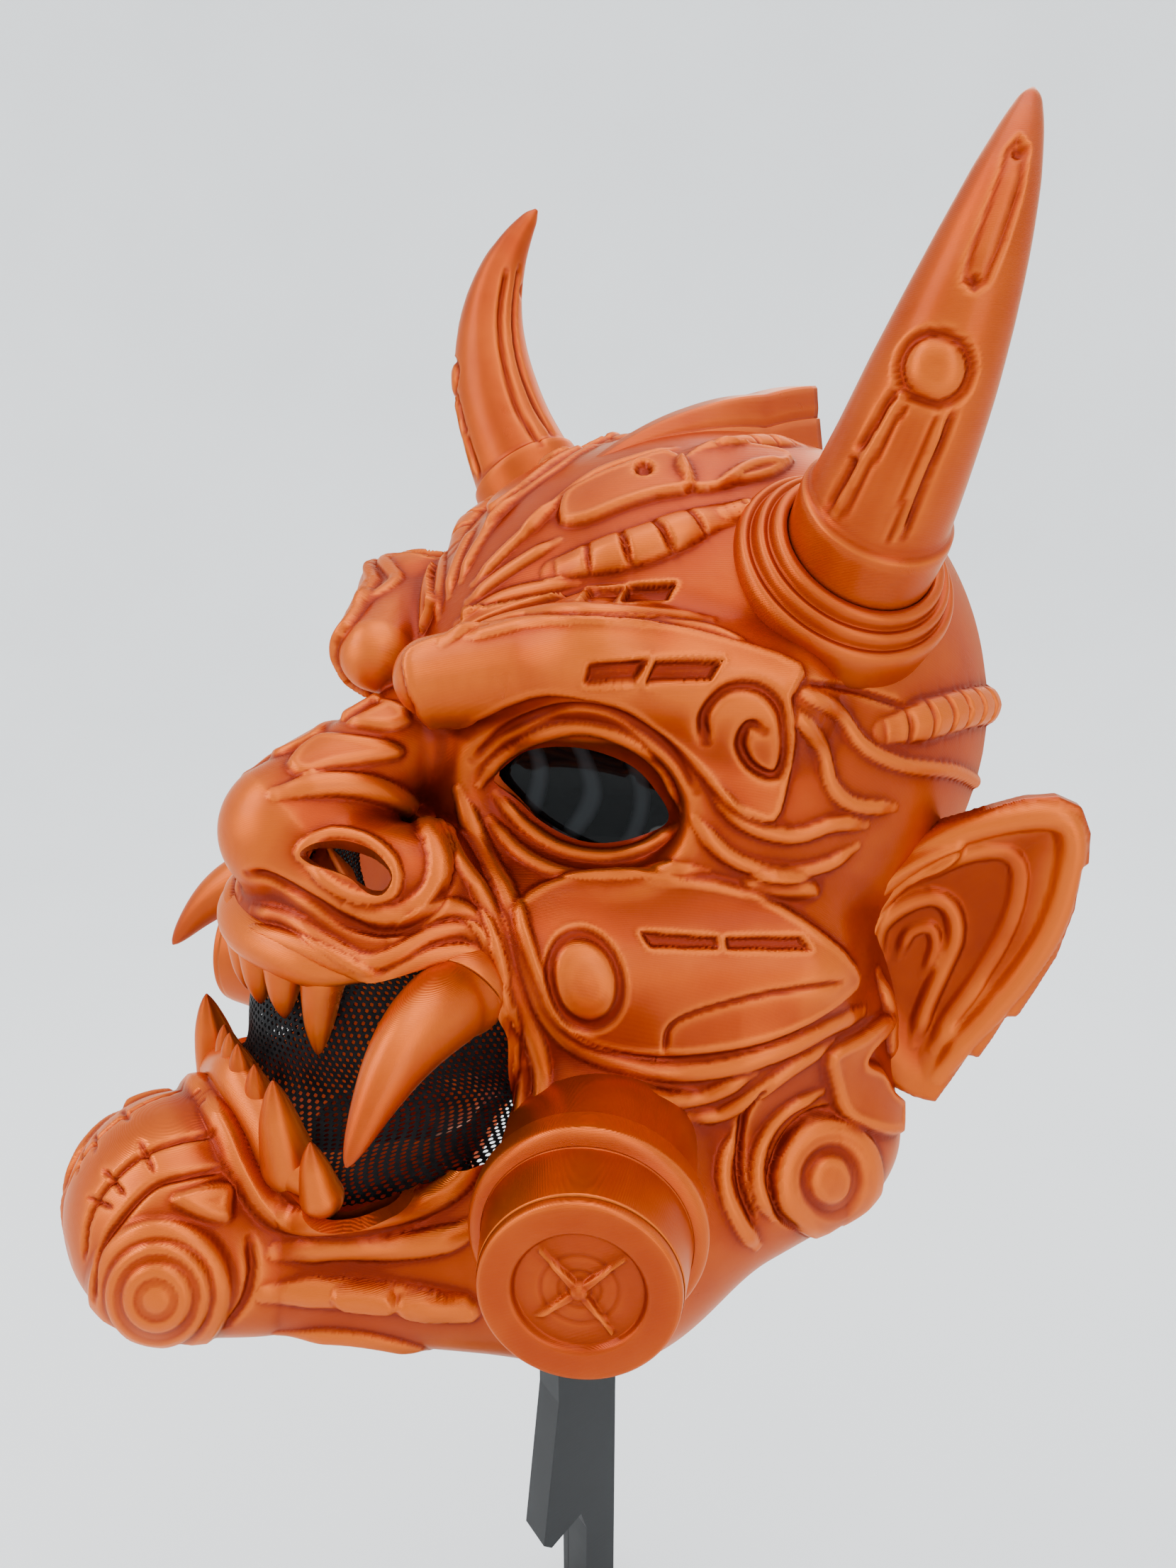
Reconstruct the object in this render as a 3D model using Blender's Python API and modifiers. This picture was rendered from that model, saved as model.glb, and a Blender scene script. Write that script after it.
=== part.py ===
"""A hollow oni mask with horns, ears, tusks and round cheek filters, on a plain plate stand.

The mask is a closed form traced along rays from a centre inside the head: ellipsoids and
tapered limbs, blended together, then raised folds, bands and bosses. A second form inside it
leaves the wall, and every piece that sits on the mask is cut to the form with a small gap.
Units are metres, +Z is up, the face looks along -Y and the origin is under the whole thing.
"""
import math

import bmesh
import bpy
import numpy as np
from mathutils import Matrix, Vector

# The mask
HALF_WIDTH = 0.100        # middle of the face to the root of an ear
HEAD_DEPTH = 0.300        # chin to the back edge
HEAD_HEIGHT = 0.300       # underside of the jaw to the crown
JAW_HEIGHT = 0.340        # floor to the underside of the jaw
WALL = 0.0042             # printed wall
GAP = 0.0003              # clearance between neighbouring pieces
FACE_TILT = math.radians(21)

# Horns, ears, filters, tusks, teeth
HORN_LENGTH = 0.128
HORN_BASE_RADIUS = 0.0235
SOCKET_RADIUS = 0.036
SOCKET_RISE = 0.011
EAR_HEIGHT = 0.104
EAR_THICKNESS = 0.006
FILTER_RADIUS = 0.034
FILTER_LENGTH = 0.037
FILTER_STANDOFF = 0.003   # neck between the jaw and the canister
FILTER_RECESS = 0.005
TUSK_LENGTH = 0.060
TUSK_RADIUS = 0.0125
TOOTH_LENGTH = 0.030      # the long lower canine; the others are shares of it
LENS_THICKNESS = 0.002
GUM_RADIUS = 0.0062
MESH_THICKNESS = 0.0012
CREST_THICKNESS = 0.044
CREST_LEAN = 0.018

# Stand
POST_THICKNESS = 0.015
POST_DEPTH = 0.030
SIDE_PLATE_THICKNESS = 0.004
BASE_WIDTH = 0.160
BASE_DEPTH = 0.190
BASE_THICKNESS = 0.010
REST_RADIUS = 0.046

# Mesh fineness: cells across one half of the face and from chin to crown
FACE_CELLS = (21, 42)
INSIDE_CELLS = (10, 19)
ROUND_SIDES = 16
HORN_SIDES = 14
TUSK_SIDES = 12
GUM_SIDES = 8
TOOTH_SIDES = 6
RAY_STEPS = 70            # steps that find the form along a ray
NORMAL_STEP = 0.0005

# The hollow runs this many degrees past the mask's edge and closes this far behind the centre
PAST_RIM = 6.0
HOLLOW_BACK = 0.06
SHEET_BACK = 0.07

ORANGE = (0.80, 0.24, 0.055, 1.0)
DARK_ORANGE = (0.62, 0.15, 0.03, 1.0)
BLACK = (0.012, 0.013, 0.014, 1.0)
LENS = (0.02, 0.022, 0.024, 1.0)
GREY = (0.075, 0.08, 0.085, 1.0)

# Places are shares: across of HALF_WIDTH, back of HEAD_DEPTH, up of HEAD_HEIGHT from the jaw.
# Radii are shares of HALF_WIDTH, or of all three sizes for an ellipsoid.
ELLIPSOIDS = (
    # name, place, radii, blend
    ("skull", (0.00, 0.300, 0.693), (1.05, 0.400, 0.360), 0.10),
    ("muzzle", (0.00, -0.087, 0.560), (0.58, 0.227, 0.090), 0.10),
    ("chin ball", (0.00, -0.400, 0.267), (0.40, 0.113, 0.120), 0.08),
    ("mouth bed", (0.00, -0.060, 0.450), (0.60, 0.260, 0.153), 0.10),
    ("side fill", (0.60, 0.233, 0.407), (0.46, 0.187, 0.167), 0.14),
)
LIMBS = (
    # name, start, end, start radius, end radius, blend
    ("nose", (0.00, -0.240, 0.665), (0.00, -0.087, 0.755), 0.225, 0.14, 0.08),
    ("nostril wing", (0.20, -0.213, 0.633), (0.30, -0.147, 0.620), 0.17, 0.17, 0.08),
    ("cheek", (0.44, -0.047, 0.527), (0.82, 0.187, 0.513), 0.27, 0.27, 0.12),
    ("inner brow", (0.20, -0.105, 0.820), (0.58, 0.007, 0.853), 0.125, 0.16, 0.08),
    ("outer brow", (0.58, 0.007, 0.853), (0.86, 0.153, 0.807), 0.16, 0.17, 0.08),
    ("jaw", (0.18, -0.320, 0.227), (0.52, 0.013, 0.193), 0.27, 0.50, 0.14),
    ("jaw corner", (0.52, 0.013, 0.227), (0.74, 0.253, 0.267), 0.50, 0.36, 0.14),
    ("lower cheek", (0.52, -0.020, 0.430), (0.76, 0.130, 0.430), 0.23, 0.27, 0.14),
    ("filter seat", (0.60, 0.033, 0.340), (0.76, -0.033, 0.352), 0.30, 0.26, 0.10),
    ("lower lip bed", (0.00, -0.293, 0.360), (0.40, -0.260, 0.333), 0.20, 0.18, 0.12),
)
# Hollows taken out of the form, given as limbs are
HOLLOWS = (
    # name, start, end, start radius, end radius, blend
    ("eye socket", (0.47, -0.072, 0.703), (0.69, -0.005, 0.697), 0.20, 0.22, 0.06),
)
# Raised folds (plus) and grooves (minus): half width and height are shares of HALF_WIDTH.
FOLDS = (
    # name, points, half width, height
    ("lip ring", ((0.0, -0.31, 0.58), (0.38, -0.21, 0.555), (0.58, -0.15, 0.60), (0.66, -0.11, 0.49),
                  (0.62, -0.17, 0.31), (0.42, -0.33, 0.29), (0.18, -0.37, 0.37), (0.0, -0.37, 0.40)),
     0.055, 0.045),
    ("cheek fold", ((0.36, -0.17, 0.66), (0.56, -0.12, 0.66), (0.74, -0.05, 0.56), (0.74, -0.08, 0.40),
                    (0.60, -0.22, 0.26)), 0.07, 0.05),
    ("cheek plate", ((0.58, -0.12, 0.59), (0.82, 0.02, 0.56), (1.06, 0.22, 0.52)), 0.18, 0.04),
    ("cheek boss", ((0.72, -0.055, 0.55), (0.76, -0.040, 0.535)), 0.10, 0.05),
    ("upper lid", ((0.20, -0.04, 0.70), (0.33, -0.02, 0.755), (0.47, 0.02, 0.76), (0.66, 0.09, 0.68)),
     0.06, 0.03),
    ("brow ridge", ((0.12, -0.10, 0.87), (0.40, -0.03, 0.905), (0.70, 0.08, 0.90), (0.90, 0.19, 0.83)),
     0.06, 0.04),
    ("brow plate", ((0.30, 0.03, 0.95), (0.60, 0.10, 0.95), (0.86, 0.22, 0.90)), 0.08, 0.03),
    ("forehead plate", ((0.0, 0.02, 0.93), (0.12, 0.10, 1.00), (0.24, 0.22, 1.04)), 0.12, 0.04),
    ("bridge step", ((0.0, -0.21, 0.745), (0.08, -0.20, 0.73)), 0.10, 0.03),
    ("temple fold", ((0.95, 0.18, 0.68), (1.05, 0.30, 0.70), (1.05, 0.44, 0.74)), 0.09, 0.04),
    ("chin boss", ((0.34, -0.44, 0.27), (0.34, -0.43, 0.28)), 0.20, 0.05),
    ("chin groove", ((0.0, -0.36, 0.36), (0.26, -0.34, 0.36), (0.40, -0.30, 0.26)), 0.06, -0.04),
    ("jaw band", ((0.30, -0.38, 0.14), (0.56, -0.20, 0.10), (0.84, 0.02, 0.08)), 0.08, 0.05),
    ("jaw tube", ((0.46, -0.28, 0.24), (0.72, -0.12, 0.20), (0.90, 0.05, 0.16)), 0.07, 0.05),
    ("jaw scroll", ((1.02, 0.14, 0.30), (1.08, 0.22, 0.24), (1.00, 0.30, 0.14)), 0.09, 0.06),
)
# Angle from the face's axis to the edge of the mask, in degrees, by direction round the axis
RIM = (
    # round, out
    (-90, 76), (-75, 92), (-55, 112), (-35, 118), (-10, 118), (15, 116), (40, 112), (65, 103), (90, 99),
)
STAR_CENTRE = (0.0, 0.183, 0.517)

# Openings seen from the front: shares across and up, one half each
EYE_OUTLINE = ((0.277, 0.706), (0.332, 0.736), (0.42, 0.750), (0.514, 0.752), (0.58, 0.732), (0.635, 0.708),
               (0.700, 0.682), (0.62, 0.659), (0.544, 0.649), (0.454, 0.655), (0.349, 0.675))
MOUTH_OUTLINE = ((0.0, 0.560), (0.21, 0.560), (0.35, 0.548), (0.45, 0.538), (0.54, 0.560), (0.60, 0.540),
                 (0.62, 0.500), (0.60, 0.430), (0.555, 0.330), (0.48, 0.328), (0.40, 0.337), (0.31, 0.352),
                 (0.20, 0.378), (0.0, 0.402))
NOSTRIL_PLACE = (0.32, -0.235, 0.660)
NOSTRIL_AXIS = (0.80, -0.55, 0.20)
NOSTRIL_RADIUS = 0.065    # share of HALF_WIDTH
CUT_FRONT = -0.60         # cutters start this share of HEAD_DEPTH in front
MOUTH_CUT_BACK = 0.04
EYE_CUT_BACK = 0.20
TEETH_CUT_BACK = 0.10
SHEET_CUT_BACK = 0.16

# Edges of the mouth that carry gums, from the middle outwards
UPPER_GUM = MOUTH_OUTLINE[:4]
LOWER_GUM = tuple(reversed(MOUTH_OUTLINE[8:]))

# Teeth: across, up of the root, lean outwards, length and radius as shares of TOOTH_LENGTH
UPPER_TEETH = ((0.06, 0.538, 0.0, 0.55, 0.19), (0.19, 0.538, 0.0, 0.57, 0.19),
               (0.31, 0.532, -0.10, 0.90, 0.20))
LOWER_TEETH = ((0.05, 0.416, 0.0, 0.42, 0.15), (0.16, 0.402, 0.0, 0.48, 0.16),
               (0.33, 0.364, 0.0, 0.95, 0.25), (0.48, 0.345, -0.06, 0.60, 0.19))

# Anchor places on the mask, as shares, and the axes of what stands there
SOCKET_PLACE = (0.90, 0.270, 0.970)
SOCKET_AXIS = (0.68, -0.15, 0.72)
FILTER_PLACE = (1.00, -0.100, 0.338)
FILTER_AXIS = (0.757, -0.645, 0.06)
EAR_PLACE = (1.00, 0.325, 0.530)
EAR_OUT = (0.64, 0.77, 0.0)
TUSK_PLACE = (0.55, -0.150, 0.530)
TUSK_AXIS = (0.40, -0.82, -0.42)
TUSK_BOW = (0.25, -0.25, 0.93)
TUSK_BOW_RISE = 0.16      # share of TUSK_LENGTH

# Horn: where its bend pulls and where its tip lies, as shares of HORN_LENGTH from its foot
HORN_BEND = (0.37, -0.14, 0.55)
HORN_TIP = (0.236, 0.139, 0.913)
HORN_TURN = 0.22          # share of the horn over which its rings turn to the bend
HORN_SECTIONS = (
    # along, radius
    (0.00, 1.00), (0.09, 0.99), (0.10, 0.90), (0.22, 0.82), (0.36, 0.73), (0.50, 0.62), (0.64, 0.50),
    (0.78, 0.37), (0.90, 0.23), (1.00, 0.06),
)
TUSK_SECTIONS = (
    # along, radius
    (-0.20, 0.92), (0.00, 1.00), (0.18, 0.98), (0.38, 0.86), (0.58, 0.68), (0.76, 0.47), (0.90, 0.28),
    (1.00, 0.08),
)
TOOTH_SECTIONS = (
    # along, radius
    (-0.28, 0.90), (0.10, 1.00), (0.55, 0.74), (1.00, 0.12),
)
TOOTH_FORWARD = -0.30     # forward for each unit up or down
# Horn socket, from the foot's edge outwards: share of its wall and share of SOCKET_RISE
SOCKET_STEPS = ((0.00, 1.00), (0.30, 1.00), (0.42, 0.66), (0.62, 0.62), (0.72, 0.30), (0.92, 0.24),
                (1.00, -0.10))
SOCKET_FLOOR = 0.75       # share of SOCKET_RISE
SOCKET_ROOT = 0.75        # share of SOCKET_RADIUS that it runs down before its seat is cut
# Filter side from the front rim to the root: shares of FILTER_RADIUS and FILTER_LENGTH
FILTER_SIDE = ((0.76, 1.00), (0.79, 0.96), (0.87, 0.42), (0.95, 0.34), (1.00, 0.30), (1.00, 0.12),
               (0.90, 0.06))
FILTER_ROOT = 0.70        # share of FILTER_RADIUS
FILTER_DISC = 0.52        # recessed disc, a share of FILTER_RADIUS
DISC_DROP = 0.40          # share of FILTER_RECESS
DISC_SLOPE = 0.001
POCKET_TRIM = 0.28        # radians taken off each end of a pocket
POCKET_INNER = 0.30       # shares of the disc
POCKET_OUTER = 0.88
CREST_SECTIONS = (
    # back, rise over the crown, width
    (0.20, 0.018, 0.45), (0.28, 0.026, 0.70), (0.38, 0.045, 1.00), (0.46, 0.078, 1.00),
)
CREST_ROOT = 0.05         # share of HEAD_HEIGHT that it starts under the crown
# Ear outline: shares of EAR_HEIGHT out from the root and up from its middle
EAR_OUTLINE = ((-0.12, 0.12), (0.13, 0.28), (0.26, 0.375), (0.39, 0.43), (0.52, 0.47), (0.60, 0.42),
               (0.60, 0.26), (0.55, 0.09), (0.48, -0.09), (0.375, -0.28), (0.31, -0.39), (0.19, -0.52),
               (0.115, -0.58), (0.02, -0.54), (-0.12, -0.40))
# Front edge of the post: shares of POST_DEPTH back, and of HEAD_HEIGHT over or JAW_HEIGHT under the jaw
POST_FRONT = ((0.62, 0.90), (0.62, -0.235), (0.33, -0.462))
NOTCH = ((0.47, -0.474), (1.00, -0.447), (1.10, -0.479))
POST_BACK = 1.62          # back edge, a share of POST_DEPTH
SIDE_STEP = 0.004         # the thin plate's prong ends this much higher and farther back
BASE_PLACE = 0.04         # middle of the foot, a share of HEAD_DEPTH
BASE_CORNER = 0.1         # share of BASE_WIDTH


def across(share):
    return share * HALF_WIDTH


def place(shares):
    """World place of a point given as shares of the mask's three sizes."""
    return np.array((across(shares[0]), shares[1] * HEAD_DEPTH, JAW_HEIGHT + shares[2] * HEAD_HEIGHT))


def smooth_union(a, b, blend):
    share = np.clip(0.5 + 0.5 * (b - a) / blend, 0.0, 1.0)
    return b + (a - b) * share - blend * share * (1.0 - share)


def ellipsoid_distance(points, centre, radii):
    scaled = (points - centre) / radii
    near = np.linalg.norm(scaled, axis=-1)
    far = np.linalg.norm(scaled / radii, axis=-1)
    return near * (near - 1.0) / np.maximum(far, 1e-9)


def limb_distance(points, start, end, start_radius, end_radius):
    run = end - start
    along = np.clip(((points - start) @ run) / (run @ run), 0.0, 1.0)
    nearest = start + along[..., None] * run
    return np.linalg.norm(points - nearest, axis=-1) - (start_radius + (end_radius - start_radius) * along)


def form_distance(points):
    """Distance from the blended masses of the head; the form is the same on both sides."""
    points = np.array(points)
    points[..., 0] = np.abs(points[..., 0])
    distance = None
    for _, centre, radii, blend in ELLIPSOIDS:
        sizes = np.array((across(radii[0]), radii[1] * HEAD_DEPTH, radii[2] * HEAD_HEIGHT))
        mass = ellipsoid_distance(points, place(centre), sizes)
        distance = mass if distance is None else smooth_union(distance, mass, across(blend))
    for _, start, end, start_radius, end_radius, blend in LIMBS:
        mass = limb_distance(points, place(start), place(end), across(start_radius), across(end_radius))
        distance = smooth_union(distance, mass, across(blend))
    for _, start, end, start_radius, end_radius, blend in HOLLOWS:
        mass = limb_distance(points, place(start), place(end), across(start_radius), across(end_radius))
        distance = -smooth_union(-distance, mass, across(blend))
    return distance


def reach_along(directions, inset=0.0):
    """How far each ray from the centre of the head runs before it leaves the form."""
    centre = place(STAR_CENTRE)
    reach = np.full(directions.shape[:-1], HEAD_DEPTH * 1.15)
    for _ in range(RAY_STEPS):
        step = form_distance(centre + directions * reach[..., None]) + inset
        reach -= np.clip(step, -0.02, 0.02) * 0.8
    return reach


def polyline_distance(points, corners):
    nearest = None
    for start, end in zip(corners[:-1], corners[1:]):
        distance = limb_distance(points, start, end, 0.0, 0.0)
        nearest = distance if nearest is None else np.minimum(nearest, distance)
    return nearest


def folds_at(points):
    """Height of the raised folds and grooves at points on the form."""
    height = np.zeros(points.shape[:-1])
    for _, corners, half_width, rise in FOLDS:
        distance = polyline_distance(points, [place(corner) for corner in corners])
        share = np.clip(1.0 - distance / (across(half_width) * 1.6), 0.0, 1.0)
        height += across(rise) * share * share * (3.0 - 2.0 * share)
    return height


def face_directions(across_share, up_share, past_rim):
    """Rays for a square patch: across 0 to 1 from the middle, up -1 to 1 from chin to crown."""
    up_share = up_share + 0.12 * (up_share * up_share - 1.0)
    a = across_share * np.sqrt(1.0 - up_share * up_share / 2.0)
    b = up_share * np.sqrt(1.0 - across_share * across_share / 2.0)
    turn = np.arctan2(b, a)
    rim = np.interp(np.degrees(turn), [row[0] for row in RIM], [row[1] for row in RIM]) + past_rim
    angle = np.hypot(a, b) * np.radians(rim)
    ahead = np.array((0.0, -math.cos(FACE_TILT), math.sin(FACE_TILT)))
    above = np.array((0.0, math.sin(FACE_TILT), math.cos(FACE_TILT)))
    aside = np.array((1.0, 0.0, 0.0))
    round_axis = np.cos(turn)[..., None] * aside + np.sin(turn)[..., None] * above
    return np.cos(angle)[..., None] * ahead + np.sin(angle)[..., None] * round_axis


def skin_points(patch, inset, folded, past_rim):
    """Points of the form for patch places, offset outwards for a negative inset."""
    directions = face_directions(patch[:, 0], patch[:, 1], past_rim)
    centre = place(STAR_CENTRE)
    reach = reach_along(directions, max(inset, 0.0))
    if folded:
        reach = reach + folds_at(centre + directions * reach[:, None])
    if inset < 0.0:
        reach = reach - inset * slant(directions, reach)
    return centre + directions * reach[:, None]


def slant(directions, reach):
    """Ray length that one unit off the surface takes, no more than three."""
    centre = place(STAR_CENTRE)
    points = centre + directions * reach[:, None]
    normals = form_normals(points)
    return 1.0 / np.clip(np.sum(normals * directions, axis=-1), 1.0 / 3.0, 1.0)


def form_normals(points):
    gradient = np.stack([
        form_distance(points + NORMAL_STEP * axis) - form_distance(points - NORMAL_STEP * axis)
        for axis in np.eye(3)
    ], axis=-1)
    return gradient / np.maximum(np.linalg.norm(gradient, axis=-1, keepdims=True), 1e-12)


def spot(shares):
    """The form's surface point and normal under a place given in shares."""
    centre = place(STAR_CENTRE)
    direction = place(shares) - centre
    direction = (direction / np.linalg.norm(direction))[None, :]
    point = centre + direction * reach_along(direction)[:, None]
    return Vector(point[0]), Vector(form_normals(point)[0])


def front_spot(x, z):
    """The foremost point of the form at shares across and up, and its normal."""
    point = place((x, -0.75, z))[None, :]
    for _ in range(RAY_STEPS):
        point = point + form_distance(point)[:, None] * 0.9 * np.array((0.0, 1.0, 0.0))
    return Vector(point[0]), Vector(form_normals(point)[0])


def crown_spot(back):
    """The top of the form in the middle plane, a share of HEAD_DEPTH back."""
    point = place((0.0, back, 1.4))[None, :]
    for _ in range(RAY_STEPS):
        point = point - form_distance(point)[:, None] * 0.9 * np.array((0.0, 0.0, 1.0))
    return Vector(point[0])


def other_side(vector, side):
    return Vector((vector[0] * side, vector[1], vector[2]))


def make_material(name, colour, roughness, metallic=0.0):
    material = bpy.data.materials.new(name)
    material.use_nodes = True
    shader = material.node_tree.nodes["Principled BSDF"]
    shader.inputs["Base Color"].default_value = colour
    shader.inputs["Roughness"].default_value = roughness
    shader.inputs["Metallic"].default_value = metallic
    material.diffuse_color = colour
    return material


def link_mesh(name, mesh, collection, material=None):
    piece = bpy.data.objects.new(name, mesh)
    collection.objects.link(piece)
    if material is not None:
        mesh.materials.append(material)
    return piece


def mesh_from(name, body):
    bmesh.ops.recalc_face_normals(body, faces=body.faces)
    mesh = bpy.data.meshes.new(name)
    body.to_mesh(mesh)
    body.free()
    return mesh


def boolean(piece, cutter, operation):
    modifier = piece.modifiers.new(f"{operation.lower()} {cutter.name}", "BOOLEAN")
    modifier.operation = operation
    modifier.object = cutter
    modifier.solver = "EXACT"


def hide_guide(piece):
    piece.hide_render = True
    piece.display_type = "WIRE"


def mirror_halves(piece):
    modifier = piece.modifiers.new("both sides", "MIRROR")
    modifier.use_axis = (True, False, False)
    modifier.use_clip = True
    modifier.merge_threshold = 0.0001


def head_form(name, collection, cells, inset, folded, past_rim=0.0, back=0.0):
    """Closed half of the head's form, mirrored to both sides."""
    body = bmesh.new()
    bmesh.ops.create_grid(body, x_segments=cells[0], y_segments=cells[1], size=1.0)
    body.verts.ensure_lookup_table()
    patch = np.array([((vert.co.x + 1.0) / 2.0, vert.co.y) for vert in body.verts])
    for vert, point in zip(body.verts, skin_points(patch, inset, folded, past_rim)):
        vert.co = point
        if abs(point[0]) < 1e-6:
            vert.co.x = 0.0
    bmesh.ops.triangulate(body, faces=body.faces, quad_method="FIXED")
    ahead = np.array((0.0, -math.cos(FACE_TILT), math.sin(FACE_TILT)))
    pole = body.verts.new(place(STAR_CENTRE) - ahead * back)
    edges = [edge for edge in body.edges if edge.is_boundary]
    for edge in edges:
        if max(vert.co.x for vert in edge.verts) > 1e-6:
            body.faces.new((edge.verts[0], edge.verts[1], pole))
    bmesh.ops.recalc_face_normals(body, faces=body.faces)
    middle = body.faces[0]
    outwards = middle.calc_center_median() - Vector(place(STAR_CENTRE))
    if middle.normal.dot(outwards) < 0.0:
        bmesh.ops.reverse_faces(body, faces=body.faces)
    mesh = bpy.data.meshes.new(name)
    body.to_mesh(mesh)
    body.free()
    form = link_mesh(name, mesh, collection)
    mirror_halves(form)
    return form


def hollow_form(name, collection, inset, back=HOLLOW_BACK):
    """The form inside the wall, without the folds."""
    return head_form(name, collection, INSIDE_CELLS, inset, False, PAST_RIM, back)


def front_prism(name, collection, outline, back_share, inset=0.0):
    """Prism along Y over an outline of shares across and up, drawn in by an inset."""
    front = place((0.0, CUT_FRONT, 0.0))[1]
    rear = place((0.0, back_share, 0.0))[1]
    body = bmesh.new()
    corners = [(across(x), JAW_HEIGHT + z * HEAD_HEIGHT) for x, z in outline]
    verts = [body.verts.new((x, front, z)) for x, z in corners]
    face = body.faces.new(verts)
    face.normal_update()
    if inset:
        bmesh.ops.inset_region(body, faces=[face], thickness=abs(inset), use_boundary=True,
                               use_outset=inset < 0.0)
        if inset > 0.0:
            rest = [other for other in body.faces if other is not face]
            bmesh.ops.delete(body, geom=rest, context="FACES_ONLY")
            loose = [edge for edge in body.edges if not edge.link_faces]
            bmesh.ops.delete(body, geom=loose, context="EDGES")
            spare = [vert for vert in body.verts if not vert.link_faces]
            bmesh.ops.delete(body, geom=spare, context="VERTS")
    extruded = bmesh.ops.extrude_face_region(body, geom=list(body.faces))
    moved = [part for part in extruded["geom"] if isinstance(part, bmesh.types.BMVert)]
    bmesh.ops.translate(body, verts=moved, vec=(0.0, rear - front, 0.0))
    prism = link_mesh(name, mesh_from(name, body), collection)
    hide_guide(prism)
    return prism


def whole_outline(half):
    """Closed outline over both sides from the half that starts and ends in the middle."""
    return list(half) + [(-x, z) for x, z in reversed(half[1:-1])]


def side_outline(outline, side):
    return [(x * side, z) for x, z in outline]


def loft(name, rings):
    """Closed skin through rings of equally many points."""
    body = bmesh.new()
    loops = [[body.verts.new(point) for point in ring] for ring in rings]
    count = len(loops[0])
    for low, high in zip(loops[:-1], loops[1:]):
        for index in range(count):
            after = (index + 1) % count
            body.faces.new((low[index], low[after], high[after], high[index]))
    body.faces.new(loops[0])
    body.faces.new(loops[-1])
    return mesh_from(name, body)


def ring_points(centre, axis, aside, radius, sides):
    up = axis.cross(aside).normalized()
    points = []
    for index in range(sides):
        angle = 2.0 * math.pi * index / sides
        points.append(centre + (aside * math.cos(angle) + up * math.sin(angle)) * radius)
    return points


def turned(name, profile, centre, axis, collection, material=None):
    """Turned solid: the profile runs down its outer side, and its height lies along the axis."""
    mesh = bpy.data.meshes.new(name)
    edges = [(index, index + 1) for index in range(len(profile) - 1)]
    mesh.from_pydata([(radius, 0.0, height) for radius, height in profile], edges, [])
    piece = link_mesh(name, mesh, collection, material)
    screw = piece.modifiers.new("turn", "SCREW")
    screw.steps = ROUND_SIDES
    screw.render_steps = ROUND_SIDES
    screw.use_merge_vertices = True
    screw.merge_threshold = 0.00001
    screw.use_smooth_shade = False
    piece.location = centre
    piece.rotation_euler = axis.to_track_quat("Z", "Y").to_euler()
    return piece


def side_name(name, side):
    return f"{name}_{'left' if side > 0 else 'right'}"


def make_shell(collection, cutters, hollow, material):
    shell = head_form("face_shell", collection, FACE_CELLS, 0.0, True)
    shell.data.materials.append(material)
    boolean(shell, hollow, "DIFFERENCE")
    for side in (1, -1):
        outline = side_outline(EYE_OUTLINE, side)
        eye = front_prism(side_name("eye opening", side), cutters, outline, EYE_CUT_BACK)
        boolean(shell, eye, "DIFFERENCE")
        nostril = make_nostril(cutters, side)
        boolean(shell, nostril, "DIFFERENCE")
    mouth = front_prism("mouth opening", cutters, whole_outline(MOUTH_OUTLINE), MOUTH_CUT_BACK)
    boolean(shell, mouth, "DIFFERENCE")
    return shell


def make_nostril(cutters, side):
    """Round cutter through the side of the nostril wing."""
    centre = other_side(place(NOSTRIL_PLACE), side)
    radius = across(NOSTRIL_RADIUS)
    axis = other_side(Vector(NOSTRIL_AXIS).normalized(), side)
    half = HALF_WIDTH * 0.3
    profile = ((0.0, half), (radius, half), (radius, -half), (0.0, -half))
    nostril = turned(side_name("nostril", side), profile, centre, axis, cutters)
    hide_guide(nostril)
    return nostril


def make_socket(collection, skin, material, side):
    """Stepped round seat of a horn, with a shallow recess for the horn's foot."""
    point, _ = spot(SOCKET_PLACE)
    axis = other_side(Vector(SOCKET_AXIS).normalized(), side)
    foot = (HORN_BASE_RADIUS + GAP) / math.cos(math.pi / ROUND_SIDES)
    wall = SOCKET_RADIUS - foot
    floor = SOCKET_RISE * SOCKET_FLOOR
    buried = -SOCKET_RADIUS * SOCKET_ROOT
    profile = [(0.0, floor), (foot, floor)]
    profile += [(foot + wall * out, SOCKET_RISE * up) for out, up in SOCKET_STEPS]
    profile += [(SOCKET_RADIUS, buried), (0.0, buried)]
    socket = turned(side_name("horn_socket", side), profile, other_side(point, side), axis,
                    collection, material)
    boolean(socket, skin, "DIFFERENCE")
    return socket


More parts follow.
